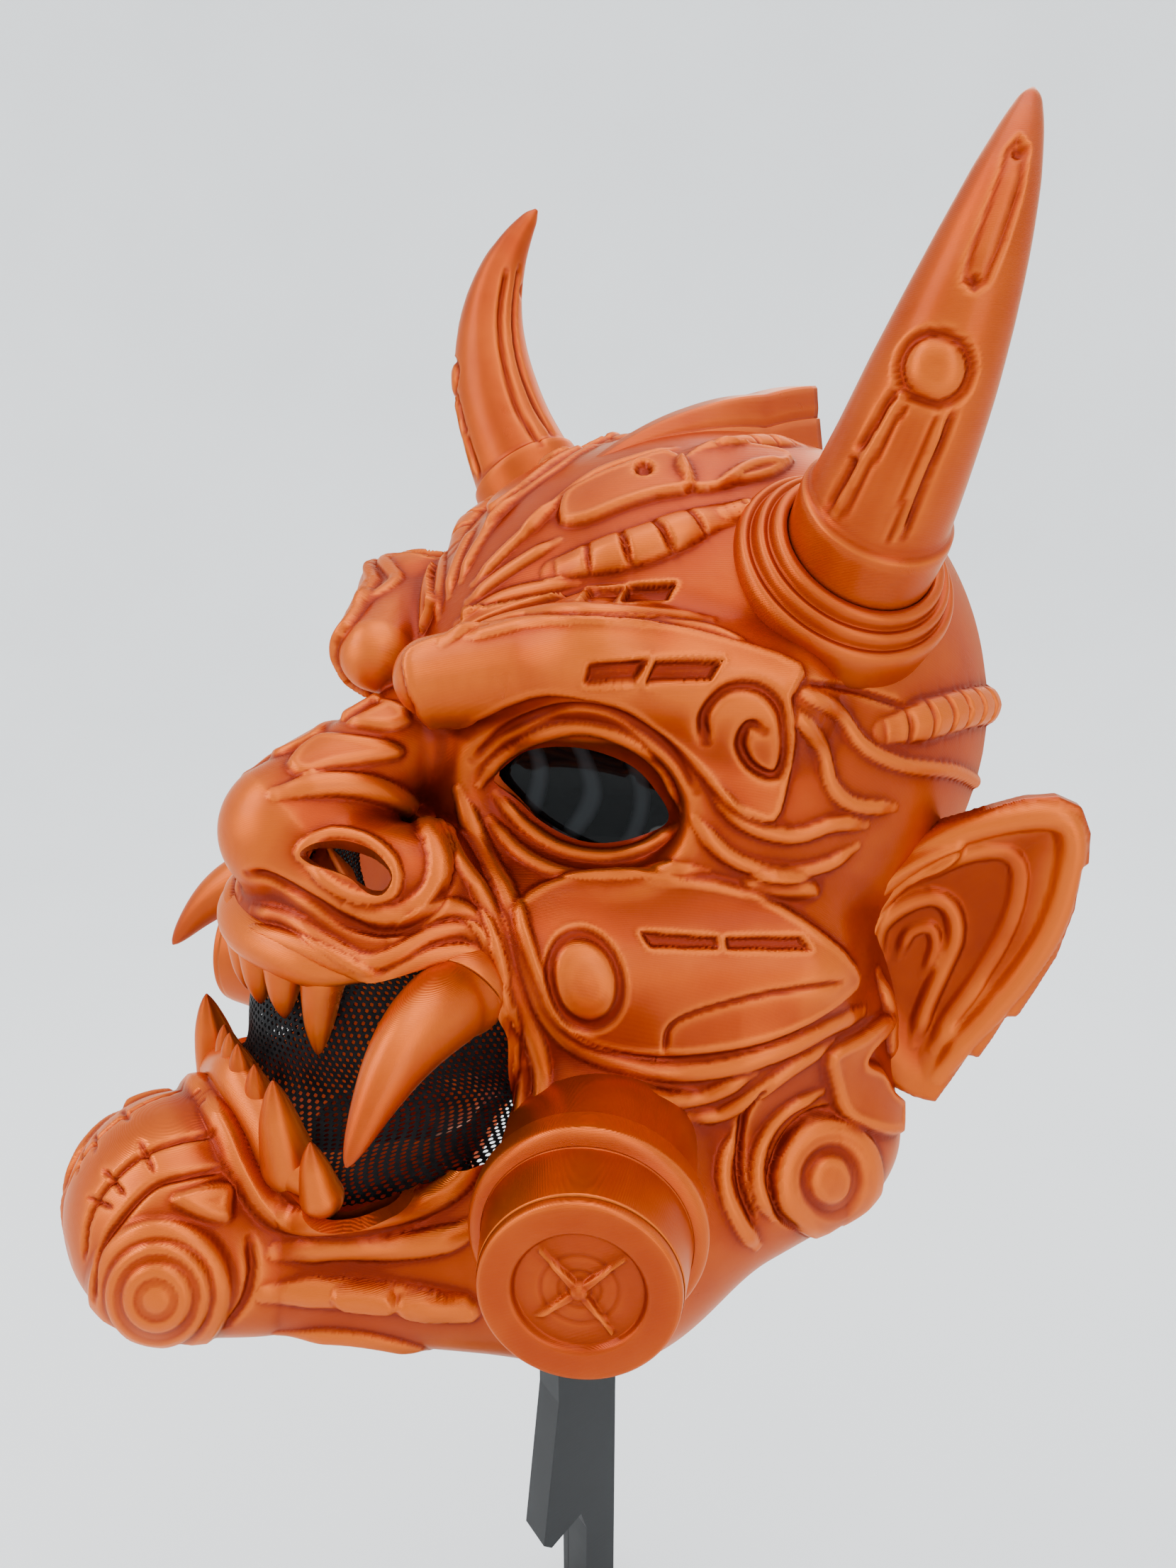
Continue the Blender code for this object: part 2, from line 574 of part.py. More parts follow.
def make_horn(collection, material, side):
    """Horn that leaves its socket outwards, then bends up and in to the tip."""
    point, _ = spot(SOCKET_PLACE)
    axis = Vector(SOCKET_AXIS).normalized()
    foot = point + axis * (SOCKET_RISE * SOCKET_FLOOR + GAP)
    seat = point + axis * (SOCKET_RISE + GAP)
    bend = foot + Vector(HORN_BEND) * HORN_LENGTH
    tip = foot + Vector(HORN_TIP) * HORN_LENGTH
    base_aside = axis.cross(Vector((0.0, 1.0, 0.0))).normalized()
    centres = [seat * (1.0 - along) ** 2 + bend * (2.0 * along * (1.0 - along)) + tip * along ** 2
               for along, _ in HORN_SECTIONS]
    rings = [[other_side(corner, side) for corner in
              ring_points(foot, axis, base_aside, HORN_BASE_RADIUS, HORN_SIDES)]]
    for index, (along, radius) in enumerate(HORN_SECTIONS):
        before = centres[max(index - 1, 0)]
        after = centres[min(index + 1, len(centres) - 1)]
        share = min(along / HORN_TURN, 1.0)
        heading = (axis * (1.0 - share) + (after - before).normalized() * share).normalized()
        aside = (base_aside - heading * base_aside.dot(heading)).normalized()
        rings.append([other_side(corner, side) for corner in
                      ring_points(centres[index], heading, aside, HORN_BASE_RADIUS * radius, HORN_SIDES)])
    return link_mesh(side_name("horn", side), loft(side_name("horn", side), rings), collection, material)


def make_ear(collection, skin, material, side):
    """Dished ear: a leaf outline with a rolled rim, bent forward at its outer edge."""
    point, _ = spot(EAR_PLACE)
    out = Vector(EAR_OUT).normalized()
    up = Vector((0.0, 0.0, 1.0))
    facing = out.cross(up)
    body = bmesh.new()
    face = body.faces.new([body.verts.new((x * EAR_HEIGHT, 0.0, z * EAR_HEIGHT)) for x, z in EAR_OUTLINE])
    face.normal_update()
    if face.normal.y > 0.0:
        face.normal_flip()
    bmesh.ops.triangulate(body, faces=[face])
    front = list(body.faces)
    extruded = bmesh.ops.extrude_face_region(body, geom=front)
    moved = [part for part in extruded["geom"] if isinstance(part, bmesh.types.BMVert)]
    raised = [part for part in extruded["geom"] if isinstance(part, bmesh.types.BMFace)]
    bmesh.ops.translate(body, verts=moved, vec=(0.0, -EAR_THICKNESS, 0.0))
    bmesh.ops.inset_region(body, faces=raised, thickness=EAR_HEIGHT * 0.05, depth=0.0)
    bmesh.ops.inset_region(body, faces=raised, thickness=EAR_HEIGHT * 0.02, depth=-EAR_THICKNESS * 0.5)
    for vert in body.verts:
        reach = max(vert.co.x, 0.0)
        bend = 0.12 * reach * reach / EAR_HEIGHT + 0.10 * vert.co.z * vert.co.z / EAR_HEIGHT
        local = out * vert.co.x + up * vert.co.z + facing * (bend - vert.co.y)
        vert.co = other_side(point + local, side)
    mesh = mesh_from(side_name("ear", side), body)
    ear = link_mesh(side_name("ear", side), mesh, collection, material)
    boolean(ear, skin, "DIFFERENCE")
    return ear


def make_filter(collection, cutters, skin, material, side):
    """Round canister with a flange lip, a tapered side and four pockets round a boss."""
    point, _ = spot(FILTER_PLACE)
    axis = Vector(FILTER_AXIS).normalized()
    centre = other_side(point + axis * FILTER_STANDOFF, side)
    buried = -FILTER_STANDOFF - FILTER_RADIUS * FILTER_ROOT
    disc = FILTER_RADIUS * FILTER_DISC
    floor = FILTER_LENGTH - FILTER_RECESS * DISC_DROP
    profile = [(0.0, floor), (disc, floor), (disc + DISC_SLOPE, FILTER_LENGTH)]
    profile += [(FILTER_RADIUS * out, FILTER_LENGTH * along) for out, along in FILTER_SIDE]
    profile += [(FILTER_RADIUS * FILTER_SIDE[-1][0], buried), (0.0, buried)]
    name = side_name("filter", side)
    canister = turned(name, profile, centre, other_side(axis, side), collection, material)
    boolean(canister, skin, "DIFFERENCE")
    pockets = make_pockets(cutters, centre, other_side(axis, side), side, disc)
    boolean(canister, pockets, "DIFFERENCE")
    return canister


def make_pockets(cutters, centre, axis, side, disc):
    """Four wedge pockets that leave a cross with a round boss between them."""
    body = bmesh.new()
    turn = axis.to_track_quat("Z", "Y").to_matrix().to_4x4()
    frame = Matrix.Translation(centre) @ turn
    low = FILTER_LENGTH - FILTER_RECESS
    inner = disc * POCKET_INNER
    outer = disc * POCKET_OUTER
    for quarter in range(4):
        start = quarter * math.pi / 2.0 + POCKET_TRIM
        stop = (quarter + 1) * math.pi / 2.0 - POCKET_TRIM
        angles = np.linspace(start, stop, 4)
        outline = [(outer * math.cos(a), outer * math.sin(a)) for a in angles]
        outline += [(inner * math.cos(a), inner * math.sin(a)) for a in (stop, start)]
        verts = [body.verts.new(frame @ Vector((x, y, low))) for x, y in outline]
        face = body.faces.new(verts)
        extruded = bmesh.ops.extrude_face_region(body, geom=[face])
        moved = [part for part in extruded["geom"] if isinstance(part, bmesh.types.BMVert)]
        bmesh.ops.translate(body, verts=moved, vec=axis * FILTER_RECESS)
    name = side_name("filter pockets", side)
    pockets = link_mesh(name, mesh_from(name, body), cutters)
    hide_guide(pockets)
    return pockets


def make_tusk(collection, skin, material, side):
    """Long tusk from the corner of the mouth, bending down and forward."""
    point, _ = spot(TUSK_PLACE)
    axis = Vector(TUSK_AXIS).normalized()
    bow = Vector(TUSK_BOW).normalized()
    rings = []
    aside = axis.cross(Vector((0.0, 0.0, 1.0))).normalized()
    for along, radius in TUSK_SECTIONS:
        lift = TUSK_BOW_RISE * math.sin(math.pi * max(along, 0.0)) * TUSK_LENGTH
        centre = point + axis * (along * TUSK_LENGTH) + bow * lift
        ring = ring_points(centre, axis, aside, TUSK_RADIUS * radius, TUSK_SIDES)
        rings.append([other_side(corner, side) for corner in ring])
    name = side_name("tusk", side)
    tusk = link_mesh(name, loft(name, rings), collection, material)
    boolean(tusk, skin, "DIFFERENCE")
    return tusk


def tooth_mesh(name, cutters, row, direction, side):
    """One pointed tooth, rooted in the gum and leaning a little forward."""
    x, z, lean, length, radius = row
    point, _ = front_spot(x, z)
    root = other_side(point, side)
    way = Vector((lean * side, TOOTH_FORWARD, direction)).normalized()
    aside = way.cross(Vector((0.0, 1.0, 0.0))).normalized()
    rings = []
    for along, width in TOOTH_SECTIONS:
        centre = root + way * (along * length * TOOTH_LENGTH)
        rings.append(ring_points(centre, way, aside, width * radius * TOOTH_LENGTH, TOOTH_SIDES))
    tooth = link_mesh(name, loft(name, rings), cutters)
    hide_guide(tooth)
    return tooth


def make_teeth(name, rows, direction, edge, collection, cutters, hollow, material):
    """A gum along one edge of the mouth opening, with its teeth."""
    window = front_prism(f"{name} opening", cutters, whole_outline(MOUTH_OUTLINE), TEETH_CUT_BACK, GAP)
    line = []
    for x, z in mirrored_line(edge):
        point, normal = front_spot(x, z + direction * GUM_RADIUS * 0.5 / HEAD_HEIGHT)
        line.append(point - normal * WALL * 0.4)
    rings = []
    for index, point in enumerate(line):
        before = line[max(index - 1, 0)]
        after = line[min(index + 1, len(line) - 1)]
        heading = (after - before).normalized()
        aside = heading.cross(Vector((0.0, 0.0, 1.0))).normalized()
        rings.append(ring_points(point, heading, aside, GUM_RADIUS, GUM_SIDES))
    gum = link_mesh(name, loft(name, rings), collection, material)
    for number, row in enumerate(rows):
        for side in (1, -1):
            tooth = tooth_mesh(f"{name} {number} {side}", cutters, row, direction, side)
            boolean(gum, tooth, "UNION")
    boolean(gum, window, "INTERSECT")
    boolean(gum, hollow, "DIFFERENCE")
    return gum


def mirrored_line(half):
    """Line over both sides from a half that starts in the middle."""
    return [(-x, z) for x, z in reversed(half[1:])] + list(half)


def make_sheet(name, outline, outset, thickness, collection, cutters, material):
    """Sheet that lies a gap behind the wall and overlaps the opening it covers."""
    sheet = hollow_form(name, collection, WALL + GAP)
    sheet.data.materials.append(material)
    inner = hollow_form(f"{name} inner face", cutters, WALL + GAP + thickness, SHEET_BACK)
    hide_guide(inner)
    boolean(sheet, inner, "DIFFERENCE")
    blank = front_prism(f"{name} blank", cutters, outline, SHEET_CUT_BACK, -outset)
    boolean(sheet, blank, "INTERSECT")
    return sheet


def make_crest(collection, skin, material):
    """Ridge along the back of the crown, rising to a square back corner."""
    rings = []
    for back, rise, width in CREST_SECTIONS:
        half = CREST_THICKNESS * width / 2.0
        crown = crown_spot(back)
        y = crown[1]
        high = crown[2] + rise * HEAD_HEIGHT
        low = crown[2] - CREST_ROOT * HEAD_HEIGHT
        section = [(half, low), (half, high - half * 1.1), (half * 0.25, high),
                   (-half * 0.25, high), (-half, high - half * 1.1), (-half, low)]
        rings.append([(x, y - CREST_LEAN * (high - z) / (high - low), z) for x, z in section])
    crest = link_mesh("crest_fin", loft("crest_fin", rings), collection, material)
    boolean(crest, skin, "DIFFERENCE")
    return crest


def post_height(share):
    """Height of a share of HEAD_HEIGHT over the jaw, or of JAW_HEIGHT under it."""
    return JAW_HEIGHT + share * (HEAD_HEIGHT if share > 0.0 else JAW_HEIGHT)


def make_post(name, low_x, high_x, step_back, collection, material):
    """Upright plate: a prong, a notch and a leg in side view, given a thickness across."""
    foot = BASE_THICKNESS + GAP
    outline = [(back * POST_DEPTH + step_back, post_height(up) + (step_back if up < 0.0 else 0.0))
               for back, up in POST_FRONT]
    outline += [(back * POST_DEPTH, post_height(up) + step_back) for back, up in NOTCH]
    leg = NOTCH[-1][0] * POST_DEPTH
    rear = POST_BACK * POST_DEPTH
    outline += [(leg, foot), (rear, foot), (rear, post_height(POST_FRONT[0][1]))]
    body = bmesh.new()
    face = body.faces.new([body.verts.new((low_x, y, z)) for y, z in outline])
    extruded = bmesh.ops.extrude_face_region(body, geom=[face])
    moved = [part for part in extruded["geom"] if isinstance(part, bmesh.types.BMVert)]
    bmesh.ops.translate(body, verts=moved, vec=(high_x - low_x, 0.0, 0.0))
    return link_mesh(name, mesh_from(name, body), collection, material)


def make_rest(collection, cutters, material):
    """Rounded pad on the post, cut to the crown's inside."""
    top = post_height(POST_FRONT[0][1]) + GAP
    middle = (POST_FRONT[0][0] + POST_BACK) / 2.0 * POST_DEPTH
    high = JAW_HEIGHT + HEAD_HEIGHT * 1.2 - top
    profile = ((0.0, high), (REST_RADIUS, high), (REST_RADIUS, REST_RADIUS * 0.30),
               (REST_RADIUS * 0.60, 0.0), (0.0, 0.0))
    rest = turned("head_rest", profile, Vector((0.0, middle, top)), Vector((0.0, 0.0, 1.0)),
                  collection, material)
    inside = hollow_form("rest top", cutters, WALL + GAP)
    hide_guide(inside)
    boolean(rest, inside, "INTERSECT")
    return rest


def make_base(collection, material):
    """Plain foot plate with rounded corners."""
    body = bmesh.new()
    bmesh.ops.create_cube(body, size=1.0)
    middle = place((0.0, BASE_PLACE, 0.0))[1]
    bmesh.ops.scale(body, verts=body.verts, vec=(BASE_WIDTH, BASE_DEPTH, BASE_THICKNESS))
    bmesh.ops.translate(body, verts=body.verts, vec=(0.0, middle, BASE_THICKNESS / 2.0))
    uprights = [edge for edge in body.edges
                if abs(edge.verts[0].co.z - edge.verts[1].co.z) > BASE_THICKNESS / 2.0]
    bmesh.ops.bevel(body, geom=uprights, offset=BASE_WIDTH * BASE_CORNER, segments=5,
                    affect="EDGES", profile=0.5)
    return link_mesh("base_plate", mesh_from("base_plate", body), collection, material)


def centre_on_origin(collection, empty):
    """Stand the model over the origin: its box's middle in X and Y, its foot at zero."""
    bpy.context.view_layer.update()
    graph = bpy.context.evaluated_depsgraph_get()
    lows = []
    highs = []
    for piece in collection.objects:
        if piece.type != "MESH":
            continue
        evaluated = piece.evaluated_get(graph)
        mesh = evaluated.to_mesh()
        ys = [(piece.matrix_world @ vert.co).y for vert in mesh.vertices]
        lows.append(min(ys))
        highs.append(max(ys))
        evaluated.to_mesh_clear()
    empty.location.y = -(min(lows) + max(highs)) / 2.0


def main():
    for old in list(bpy.data.objects):
        bpy.data.objects.remove(old, do_unlink=True)
    parts = bpy.data.collections.new("oni mask")
    cutters = bpy.data.collections.new("cutters")
    bpy.context.scene.collection.children.link(parts)
    bpy.context.scene.collection.children.link(cutters)
    orange = make_material("silk orange print", ORANGE, 0.32, 0.35)
    tooth_orange = make_material("tooth orange print", DARK_ORANGE, 0.36, 0.3)
    black = make_material("black mesh", BLACK, 0.55)
    lens = make_material("dark lens", LENS, 0.08)
    grey = make_material("grey stand print", GREY, 0.6)

    skin = head_form("seat cutter", cutters, FACE_CELLS, -GAP, True)
    hollow = hollow_form("hollow", cutters, WALL)
    for guide in (skin, hollow):
        hide_guide(guide)

    make_shell(parts, cutters, hollow, orange)
    make_crest(parts, skin, orange)
    for side in (1, -1):
        make_socket(parts, skin, orange, side)
        make_horn(parts, orange, side)
        make_ear(parts, skin, orange, side)
        make_filter(parts, cutters, skin, orange, side)
        make_tusk(parts, skin, orange, side)
        make_sheet(side_name("eye_lens", side), side_outline(EYE_OUTLINE, side), HALF_WIDTH * 0.06,
                   LENS_THICKNESS, parts, cutters, lens)
    make_teeth("upper_teeth", UPPER_TEETH, -1, UPPER_GUM, parts, cutters, hollow, tooth_orange)
    make_teeth("lower_teeth", LOWER_TEETH, 1, LOWER_GUM, parts, cutters, hollow, tooth_orange)
    make_sheet("mouth_mesh", whole_outline(MOUTH_OUTLINE), HALF_WIDTH * 0.05, MESH_THICKNESS,
               parts, cutters, black)

    half_post = POST_THICKNESS / 2.0
    make_post("post_plate", -half_post, half_post, 0.0, parts, grey)
    side_face = -half_post - GAP
    make_post("post_side_plate", side_face - SIDE_PLATE_THICKNESS, side_face, SIDE_STEP, parts, grey)
    make_rest(parts, cutters, grey)
    make_base(parts, grey)

    stand_point = bpy.data.objects.new("stand_point", None)
    parts.objects.link(stand_point)
    centre_on_origin(parts, stand_point)
    for piece in list(parts.objects) + list(cutters.objects):
        if piece is not stand_point:
            piece.parent = stand_point


main()
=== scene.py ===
"""Looks of an oni mask on its plate stand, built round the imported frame.

The face is the same blended form as the solid model's, traced on a cubic lattice over one half
of the head and mirrored. Folds, plates, hoses, bosses and slots are laid over it: each is a short
line of places read from the photograph, dropped onto the form from the photograph's camera.
Units are metres, +Z is up, the face looks along -Y.
"""
import math

import bpy
import numpy as np
from bpy.props import FloatProperty, FloatVectorProperty, PointerProperty
from mathutils import Matrix, Vector


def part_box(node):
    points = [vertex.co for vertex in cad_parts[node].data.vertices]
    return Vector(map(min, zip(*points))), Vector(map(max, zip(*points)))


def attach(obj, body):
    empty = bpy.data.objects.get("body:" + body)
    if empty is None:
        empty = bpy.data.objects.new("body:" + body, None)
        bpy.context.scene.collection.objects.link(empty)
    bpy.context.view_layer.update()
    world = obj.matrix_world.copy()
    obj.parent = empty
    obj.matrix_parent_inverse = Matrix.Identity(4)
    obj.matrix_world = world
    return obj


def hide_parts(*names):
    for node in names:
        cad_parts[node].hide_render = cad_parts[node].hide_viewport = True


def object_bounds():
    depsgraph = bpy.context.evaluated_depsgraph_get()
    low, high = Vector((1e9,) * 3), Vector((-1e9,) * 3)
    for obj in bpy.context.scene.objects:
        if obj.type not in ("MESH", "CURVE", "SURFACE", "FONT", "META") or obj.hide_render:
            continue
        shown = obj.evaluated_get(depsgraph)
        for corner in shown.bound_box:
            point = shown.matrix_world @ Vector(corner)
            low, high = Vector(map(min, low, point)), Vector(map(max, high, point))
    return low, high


bl_info = {
    "name": "Oni Mask",
    "version": (1, 0, 0),
    "blender": (4, 5, 0),
    "location": "View3D > Sidebar > Oni Mask",
    "description": "Builds a printed oni mask and its plate stand round the packed frame",
    "category": "Add Mesh",
}

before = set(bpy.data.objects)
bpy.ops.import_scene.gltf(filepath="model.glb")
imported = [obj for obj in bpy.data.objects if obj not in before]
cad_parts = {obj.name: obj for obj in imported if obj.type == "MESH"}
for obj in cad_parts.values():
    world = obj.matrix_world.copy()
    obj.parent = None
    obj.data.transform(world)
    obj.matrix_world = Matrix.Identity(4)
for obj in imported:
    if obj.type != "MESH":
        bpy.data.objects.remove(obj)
CAD_BOX = [list(corner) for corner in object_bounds()]

MM = 0.001
BODY = "root"
BOX_MARGIN = 0.0002       # the looks stay this far inside the solid model's box

# The mask's driving sizes, as in the solid model
HALF_WIDTH = 0.100
HEAD_DEPTH = 0.300
HEAD_HEIGHT = 0.300
JAW_HEIGHT = 0.340
WALL = 0.0042
FACE_TILT = math.radians(21)
HORN_LENGTH = 0.128
HORN_BASE_RADIUS = 0.0235
SOCKET_RADIUS = 0.036
SOCKET_RISE = 0.011
SOCKET_FLOOR = 0.75
EAR_HEIGHT = 0.104
EAR_THICKNESS = 0.006
FILTER_RADIUS = 0.034
FILTER_LENGTH = 0.037
FILTER_STANDOFF = 0.003
TUSK_LENGTH = 0.060
TUSK_RADIUS = 0.0125
TUSK_BOW_RISE = 0.16
TOOTH_LENGTH = 0.030
GUM_RADIUS = 0.0062
BASE_PLACE = 0.04
RAY_STEPS = 60

# The solid model stands over the origin, so its foot says how far it was moved
FOOT_LOW, FOOT_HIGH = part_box("base_plate")
SHIFT = (FOOT_LOW.y + FOOT_HIGH.y) / 2.0 - BASE_PLACE * HEAD_DEPTH

# The photograph's camera: places in the photograph are given on a frame of 1500 by 2000
PHOTO_WIDTH = 1500.0
PHOTO_HEIGHT = 2000.0
PHOTO_FOCUS = 1444.0
CAMERA_TURN = math.radians(55.0)
CAMERA_RISE = math.radians(18.7)
CAMERA_PLACE = np.array((0.32, -0.185 + SHIFT, 0.665))
SENSOR = 36.0
RIGHT = np.array((math.cos(CAMERA_TURN), math.sin(CAMERA_TURN), 0.0))
BACK = np.array((math.sin(CAMERA_TURN) * math.cos(CAMERA_RISE),
                 -math.cos(CAMERA_TURN) * math.cos(CAMERA_RISE), math.sin(CAMERA_RISE)))
UPWARD = np.cross(BACK, RIGHT)

# Places are shares: across of HALF_WIDTH, back of HEAD_DEPTH, up of HEAD_HEIGHT from the jaw.
# Radii are shares of HALF_WIDTH, or of all three sizes for an ellipsoid.
ELLIPSOIDS = (
    # name, place, radii, blend
    ("skull", (0.00, 0.300, 0.693), (1.05, 0.400, 0.360), 0.10),
    ("muzzle", (0.00, -0.087, 0.560), (0.58, 0.227, 0.090), 0.10),
    ("chin ball", (0.00, -0.400, 0.267), (0.40, 0.113, 0.120), 0.08),
    ("mouth bed", (0.00, -0.060, 0.450), (0.60, 0.260, 0.153), 0.10),
    ("side fill", (0.60, 0.233, 0.407), (0.46, 0.187, 0.167), 0.14),
)
LIMBS = (
    # name, start, end, start radius, end radius, blend
    ("nose", (0.00, -0.240, 0.665), (0.00, -0.087, 0.755), 0.225, 0.14, 0.08),
    ("nostril wing", (0.20, -0.213, 0.633), (0.30, -0.147, 0.620), 0.17, 0.17, 0.08),
    ("cheek", (0.44, -0.047, 0.527), (0.82, 0.187, 0.513), 0.27, 0.27, 0.12),
    ("inner brow", (0.20, -0.105, 0.820), (0.58, 0.007, 0.853), 0.125, 0.16, 0.08),
    ("outer brow", (0.58, 0.007, 0.853), (0.86, 0.153, 0.807), 0.16, 0.17, 0.08),
    ("jaw", (0.18, -0.320, 0.227), (0.52, 0.013, 0.193), 0.27, 0.50, 0.14),
    ("jaw corner", (0.52, 0.013, 0.227), (0.74, 0.253, 0.267), 0.50, 0.40, 0.14),
    ("lower cheek", (0.52, -0.020, 0.430), (0.76, 0.130, 0.430), 0.23, 0.27, 0.14),
    ("filter seat", (0.60, 0.033, 0.340), (0.76, -0.033, 0.352), 0.30, 0.26, 0.10),
    ("lower lip bed", (0.00, -0.293, 0.360), (0.40, -0.260, 0.333), 0.20, 0.18, 0.12),
)
HOLLOWS = (
    ("eye socket", (0.47, -0.072, 0.703), (0.69, -0.005, 0.697), 0.20, 0.22, 0.06),
)
# Angle from the face's axis to the edge of the mask, in degrees, by direction round the axis
RIM = (
    # round, out
    (-90, 76), (-75, 92), (-55, 112), (-35, 118), (-10, 118), (15, 116), (40, 112), (65, 103), (90, 99),
)
STAR_CENTRE = (0.0, 0.183, 0.517)
FACE_AHEAD = np.array((0.0, -math.cos(FACE_TILT), math.sin(FACE_TILT)))
FACE_ABOVE = np.array((0.0, math.sin(FACE_TILT), math.cos(FACE_TILT)))

# Openings seen from the front: shares across and up, one half each
EYE_OUTLINE = ((0.277, 0.706), (0.332, 0.736), (0.42, 0.750), (0.514, 0.752), (0.58, 0.732), (0.635, 0.708),
               (0.700, 0.682), (0.62, 0.659), (0.544, 0.649), (0.454, 0.655), (0.349, 0.675))
MOUTH_OUTLINE = ((0.0, 0.584), (0.21, 0.582), (0.35, 0.568), (0.45, 0.556), (0.54, 0.566), (0.60, 0.540),
                 (0.62, 0.500), (0.61, 0.430), (0.602, 0.365), (0.580, 0.326), (0.53, 0.322), (0.48, 0.328),
                 (0.40, 0.337), (0.31, 0.352), (0.20, 0.378), (0.0, 0.402))
NOSTRIL_OUTLINE = ((384, 1089), (404, 1076), (438, 1072), (472, 1083), (494, 1104), (500, 1122), (488, 1140),
                   (468, 1138), (446, 1120), (421, 1110), (396, 1102))
EYE_CUT_FRONT = -0.10
EYE_CUT_BACK = 0.20
MOUTH_CUT_BACK = 0.04

SOCKET_PLACE = (0.90, 0.270, 0.970)
SOCKET_AXIS = (0.68, -0.15, 0.72)
FILTER_PLACE = (1.00, -0.100, 0.338)
FILTER_AXIS = (0.757, -0.645, 0.06)
EAR_PLACE = (1.00, 0.325, 0.530)
EAR_OUT = (0.64, 0.77, 0.0)
TUSK_PLACE = (0.55, -0.150, 0.530)
TUSK_AXIS = (0.40, -0.82, -0.42)
TUSK_BOW = (0.25, -0.25, 0.93)
HORN_BEND = (0.37, -0.14, 0.55)
HORN_TIP = (0.236, 0.139, 0.913)

# Teeth: across, up of the root, lean outwards, length and radius as shares of TOOTH_LENGTH
UPPER_TEETH = ((0.06, 0.538, 0.0, 0.55, 0.19), (0.19, 0.538, 0.0, 0.57, 0.19), (0.31, 0.532, -0.10, 0.90, 0.20))
LOWER_TEETH = ((0.05, 0.416, 0.0, 0.42, 0.15), (0.16, 0.402, 0.0, 0.48, 0.16),
               (0.33, 0.364, 0.0, 0.95, 0.25), (0.48, 0.345, -0.06, 0.60, 0.19))

